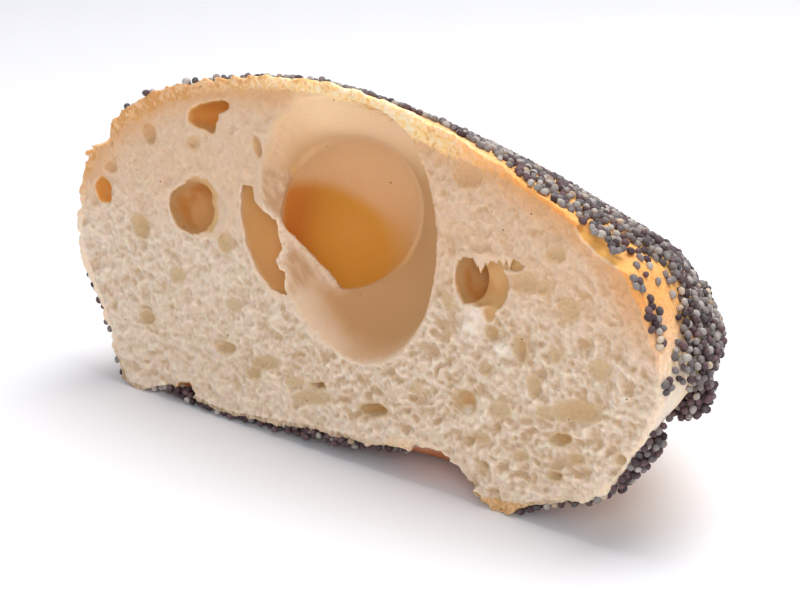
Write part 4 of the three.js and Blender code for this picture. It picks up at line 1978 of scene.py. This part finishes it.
        # Painted glow and shade in the small holes: more saturated deeper in, brighter orange near the
        # crust.
        blotch = sheet.fade(grain.broad, self.small_patches, self.small, self.small_light)
        blotch = sheet.fade(inward, self.small_depth, self.small_rim, blotch)
        under_crust = sheet.mask("under_crust")
        blotch = sheet.fade(under_crust, self.small_glow_depth, blotch, self.small_glow)
        small = sheet.times(sheet.mask("small"), sheet.ramp(inward, self.small_front))
        layers = (
            (lit, self.wall_top_painted_light),
            # painted light on the far bubble's wall
            (sheet.mask("behind"), self.deep),
            # painted glow, with painted shade round one spot
            (sheet.mask("amber"), sheet.mix(sheet.mask("ember"), self.amber, self.ember)),
            (sheet.mask("film"), flaky),
            (sheet.times(torn, self.tear_share), self.tear),
            (beside, self.aside),
            (small, blotch),
        )
        for share, layer in layers:
            colour = sheet.mix(share, colour, layer)
        return colour

    def crust(self, grain: Grain) -> Socket:
        """Colour the crust: toasted patches, and cream and light gold patches that are partly painted
        highlight, on top; pale at the sides, brown below.

        Args:
            grain: the material's grain.

        Returns:
            The colour.
        """
        sheet = grain.sheet
        inward = sheet.mask("inward")
        patchy = sheet.plus(grain.fine, grain.broad, self.patch_grain)
        middle = sheet.ramp(grain.across, self.middle_across)
        # Lighter gold patches at the left, partly painted highlight
        chips = sheet.times(sheet.ramp(patchy, self.chip_patches), self.chip_share)
        left = sheet.mix(chips, self.crust_left, self.crust_chip_and_highlight)
        less = sheet.plus(1.0, middle, self.toast_middle)
        toasted = sheet.times(sheet.ramp(patchy, self.toast_patches), less)
        top = sheet.mix(middle, left, self.crust_top)
        for share, layer in (
            # cream patches in the middle, partly painted highlight
            (sheet.times(sheet.ramp(patchy, self.cream_patches), middle), self.crust_cream_and_highlight),
            (toasted, self.crust_toast),
            (sheet.ramp(inward, self.back_depth), self.crust_back),
            (sheet.ramp(grain.across, self.right_across), self.crust_right),
        ):
            top = sheet.mix(share, top, layer)
        flank = sheet.fade(patchy, self.flank_patches, self.crust_flank, self.crust_back)
        side = sheet.fade(inward, self.flank_depth, self.crust_side, flank)
        baked = sheet.fade(grain.height, self.top_up, side, top)
        torn = sheet.fade(patchy, self.torn_patches, self.crust_torn, self.crust_edge)
        grit = sheet.fade(patchy, self.grit_patches, self.crust_grit, self.crust_corner)
        below = sheet.fade(inward, self.below_depth, self.crust_base, self.crust_back)
        base = sheet.fade(inward, self.cut_depth, below, sheet.mix(self.corner(grain), torn, grit))
        return sheet.fade(grain.height, self.base_up, baked, base)


@dataclass(frozen=True)
class SeedFinish:
    """The dull, finely pitted skin of a poppy seed."""

    kind: SeedKind
    dark: Colour
    light: Colour
    grain_scale: float = 700.0
    grain_share: float = 0.5
    thread_share: float = -0.35
    shades: Span = (0.05, 1.25)
    bump: float = 0.8
    bump_height: float = 0.00015
    roughness: float = 0.6
    specular: float = 0.35

    def build(self, mottle: bpy.types.NodeTree) -> bpy.types.Material:
        """Make the material.

        Args:
            mottle: the grain group.

        Returns:
            The material.
        """
        plain = {"Roughness": self.roughness, "Specular IOR Level": self.specular}
        material, sheet, shader = new_material(f"seed_{self.kind.label}", plain)
        spread = {"Place": sheet.place(), "Scale": self.grain_scale}
        grain = sheet.add("ShaderNodeGroup", set_node_tree=mottle, **spread).outputs
        parts = (grain["Fine"], self.grain_share), (grain["Threads"], self.thread_share)
        uneven = sheet.total(sheet.mask("shade"), *parts)
        colour = sheet.fade(uneven, self.shades, self.dark, self.light)
        sheet.join(colour, shader.inputs["Base Color"])
        sheet.bump(shader, grain["Fine"], self.bump, self.bump_height)
        return material


SEED_FINISHES = (
    SeedFinish(SeedKind.GREY, (0.18, 0.155, 0.145), (0.46, 0.41, 0.375)),
    SeedFinish(SeedKind.SLATE, (0.07, 0.058, 0.06), (0.23, 0.195, 0.192)),
    SeedFinish(SeedKind.PLUM, (0.038, 0.02, 0.023), (0.14, 0.08, 0.086)),
    SeedFinish(SeedKind.TAN, (0.30, 0.20, 0.13), (0.60, 0.48, 0.36)),
)


@dataclass(frozen=True)
class Lamp:
    """A soft round lamp that points at the roll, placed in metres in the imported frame."""

    name: str
    where: Point
    size: float
    watts: float


@dataclass(frozen=True)
class Studio:
    """The plain pale floor, the soft lights and the camera."""

    ambient: float = 0.54
    air: Colour = (0.97, 0.98, 1.0)
    floor_colour: Colour = (0.80, 0.80, 0.83)
    floor_reach: float = 3.0
    floor_roughness: float = 0.9
    floor_specular: float = 0.1
    lamps_aim: Point = (0, 0, 0.02)
    lamps: tuple[Lamp, ...] = (
        Lamp("key_light", (0.05, 0.10, 0.46), 0.4, 2.4),
        Lamp("fill_light", (0.36, -0.46, 0.26), 0.35, 1.3),
    )
    azimuth: float = 41.0
    elevation: float = 19.06
    distance: float = 330.0
    lens: float = 111.5
    sensor: float = 36.0
    aim: Point = (63.33, 0.0, 25.92)

    def build(self, place: Placement) -> None:
        """Set up the floor, the lights and the camera."""
        self.floor()
        self.lights()
        self.camera(place)

    def camera(self, place: Placement) -> None:
        """Set the camera at the photograph's viewing angle."""
        around, up = math.radians(self.azimuth), math.radians(self.elevation)
        away = np.array(
            (math.sin(around) * math.cos(up), -math.cos(around) * math.cos(up), math.sin(up))
        )
        data = bpy.data.cameras.new("camera")
        data.lens = self.lens
        data.sensor_width = self.sensor
        made = bpy.data.objects.new("camera", data)
        made.location = place.metres(np.array(self.aim)) + away * self.distance * MM
        made.rotation_euler = (math.pi / 2 - up, 0.0, around)
        bpy.context.scene.collection.objects.link(made)
        bpy.context.scene.camera = made

    def floor(self) -> None:
        """Lay the pale floor."""
        far = self.floor_reach
        corners = np.array([(-far, -far, 0), (far, -far, 0), (far, far, 0), (-far, far, 0)])
        made = mesh_object("floor", corners, np.array([(0, 1, 2, 3)]))
        plain = {
            "Base Color": (*self.floor_colour, 1.0),
            "Roughness": self.floor_roughness,
            "Specular IOR Level": self.floor_specular,
        }
        made.data.materials.append(new_material("floor", plain)[0])

    def lights(self) -> None:
        """Hang the soft lamps and brighten the surroundings."""
        world = bpy.data.worlds.new("surroundings")
        world.use_nodes = True
        background = world.node_tree.nodes["Background"]
        background.inputs["Color"].default_value = (*self.air, 1.0)
        background.inputs["Strength"].default_value = self.ambient
        bpy.context.scene.world = world
        for light in self.lamps:
            data = bpy.data.lights.new(light.name, "AREA")
            data.shape = "DISK"
            data.size = light.size
            data.energy = light.watts
            made = bpy.data.objects.new(light.name, data)
            made.location = light.where
            toward = np.array(self.lamps_aim) - np.array(light.where)
            made.rotation_euler = (
                math.atan2(math.hypot(toward[0], toward[1]), -toward[2]),
                0.0,
                math.atan2(toward[1], toward[0]) - math.pi / 2,
            )
            bpy.context.scene.collection.objects.link(made)
        bpy.context.scene.view_settings.view_transform = "Standard"


def main() -> None:
    """Build the dressed roll piece by piece."""
    logging.basicConfig(level=logging.INFO, format="%(name)s: %(message)s")
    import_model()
    form = RollForm()
    place = Placement.from_frame(form)
    Studio().build(place)
    mottle, specks = mottle_group(), speck_group()
    bread = Bread(form, place)
    loaf = bread.build()
    loaf.data.materials.append(BreadFinish().build(mottle, specks))
    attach(loaf, "root")
    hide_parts(NODE)
    LOG.info("bread: %d triangles", len(loaf.data.polygons))
    for seeds, finish in zip(SeedCoat(form, place, bread).build(), SEED_FINISHES):
        seeds.data.materials.append(finish.build(mottle))
        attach(seeds, "root")
        LOG.info("%s: %d triangles", seeds.name, len(seeds.data.polygons))


if __name__ == "__main__":
    main()
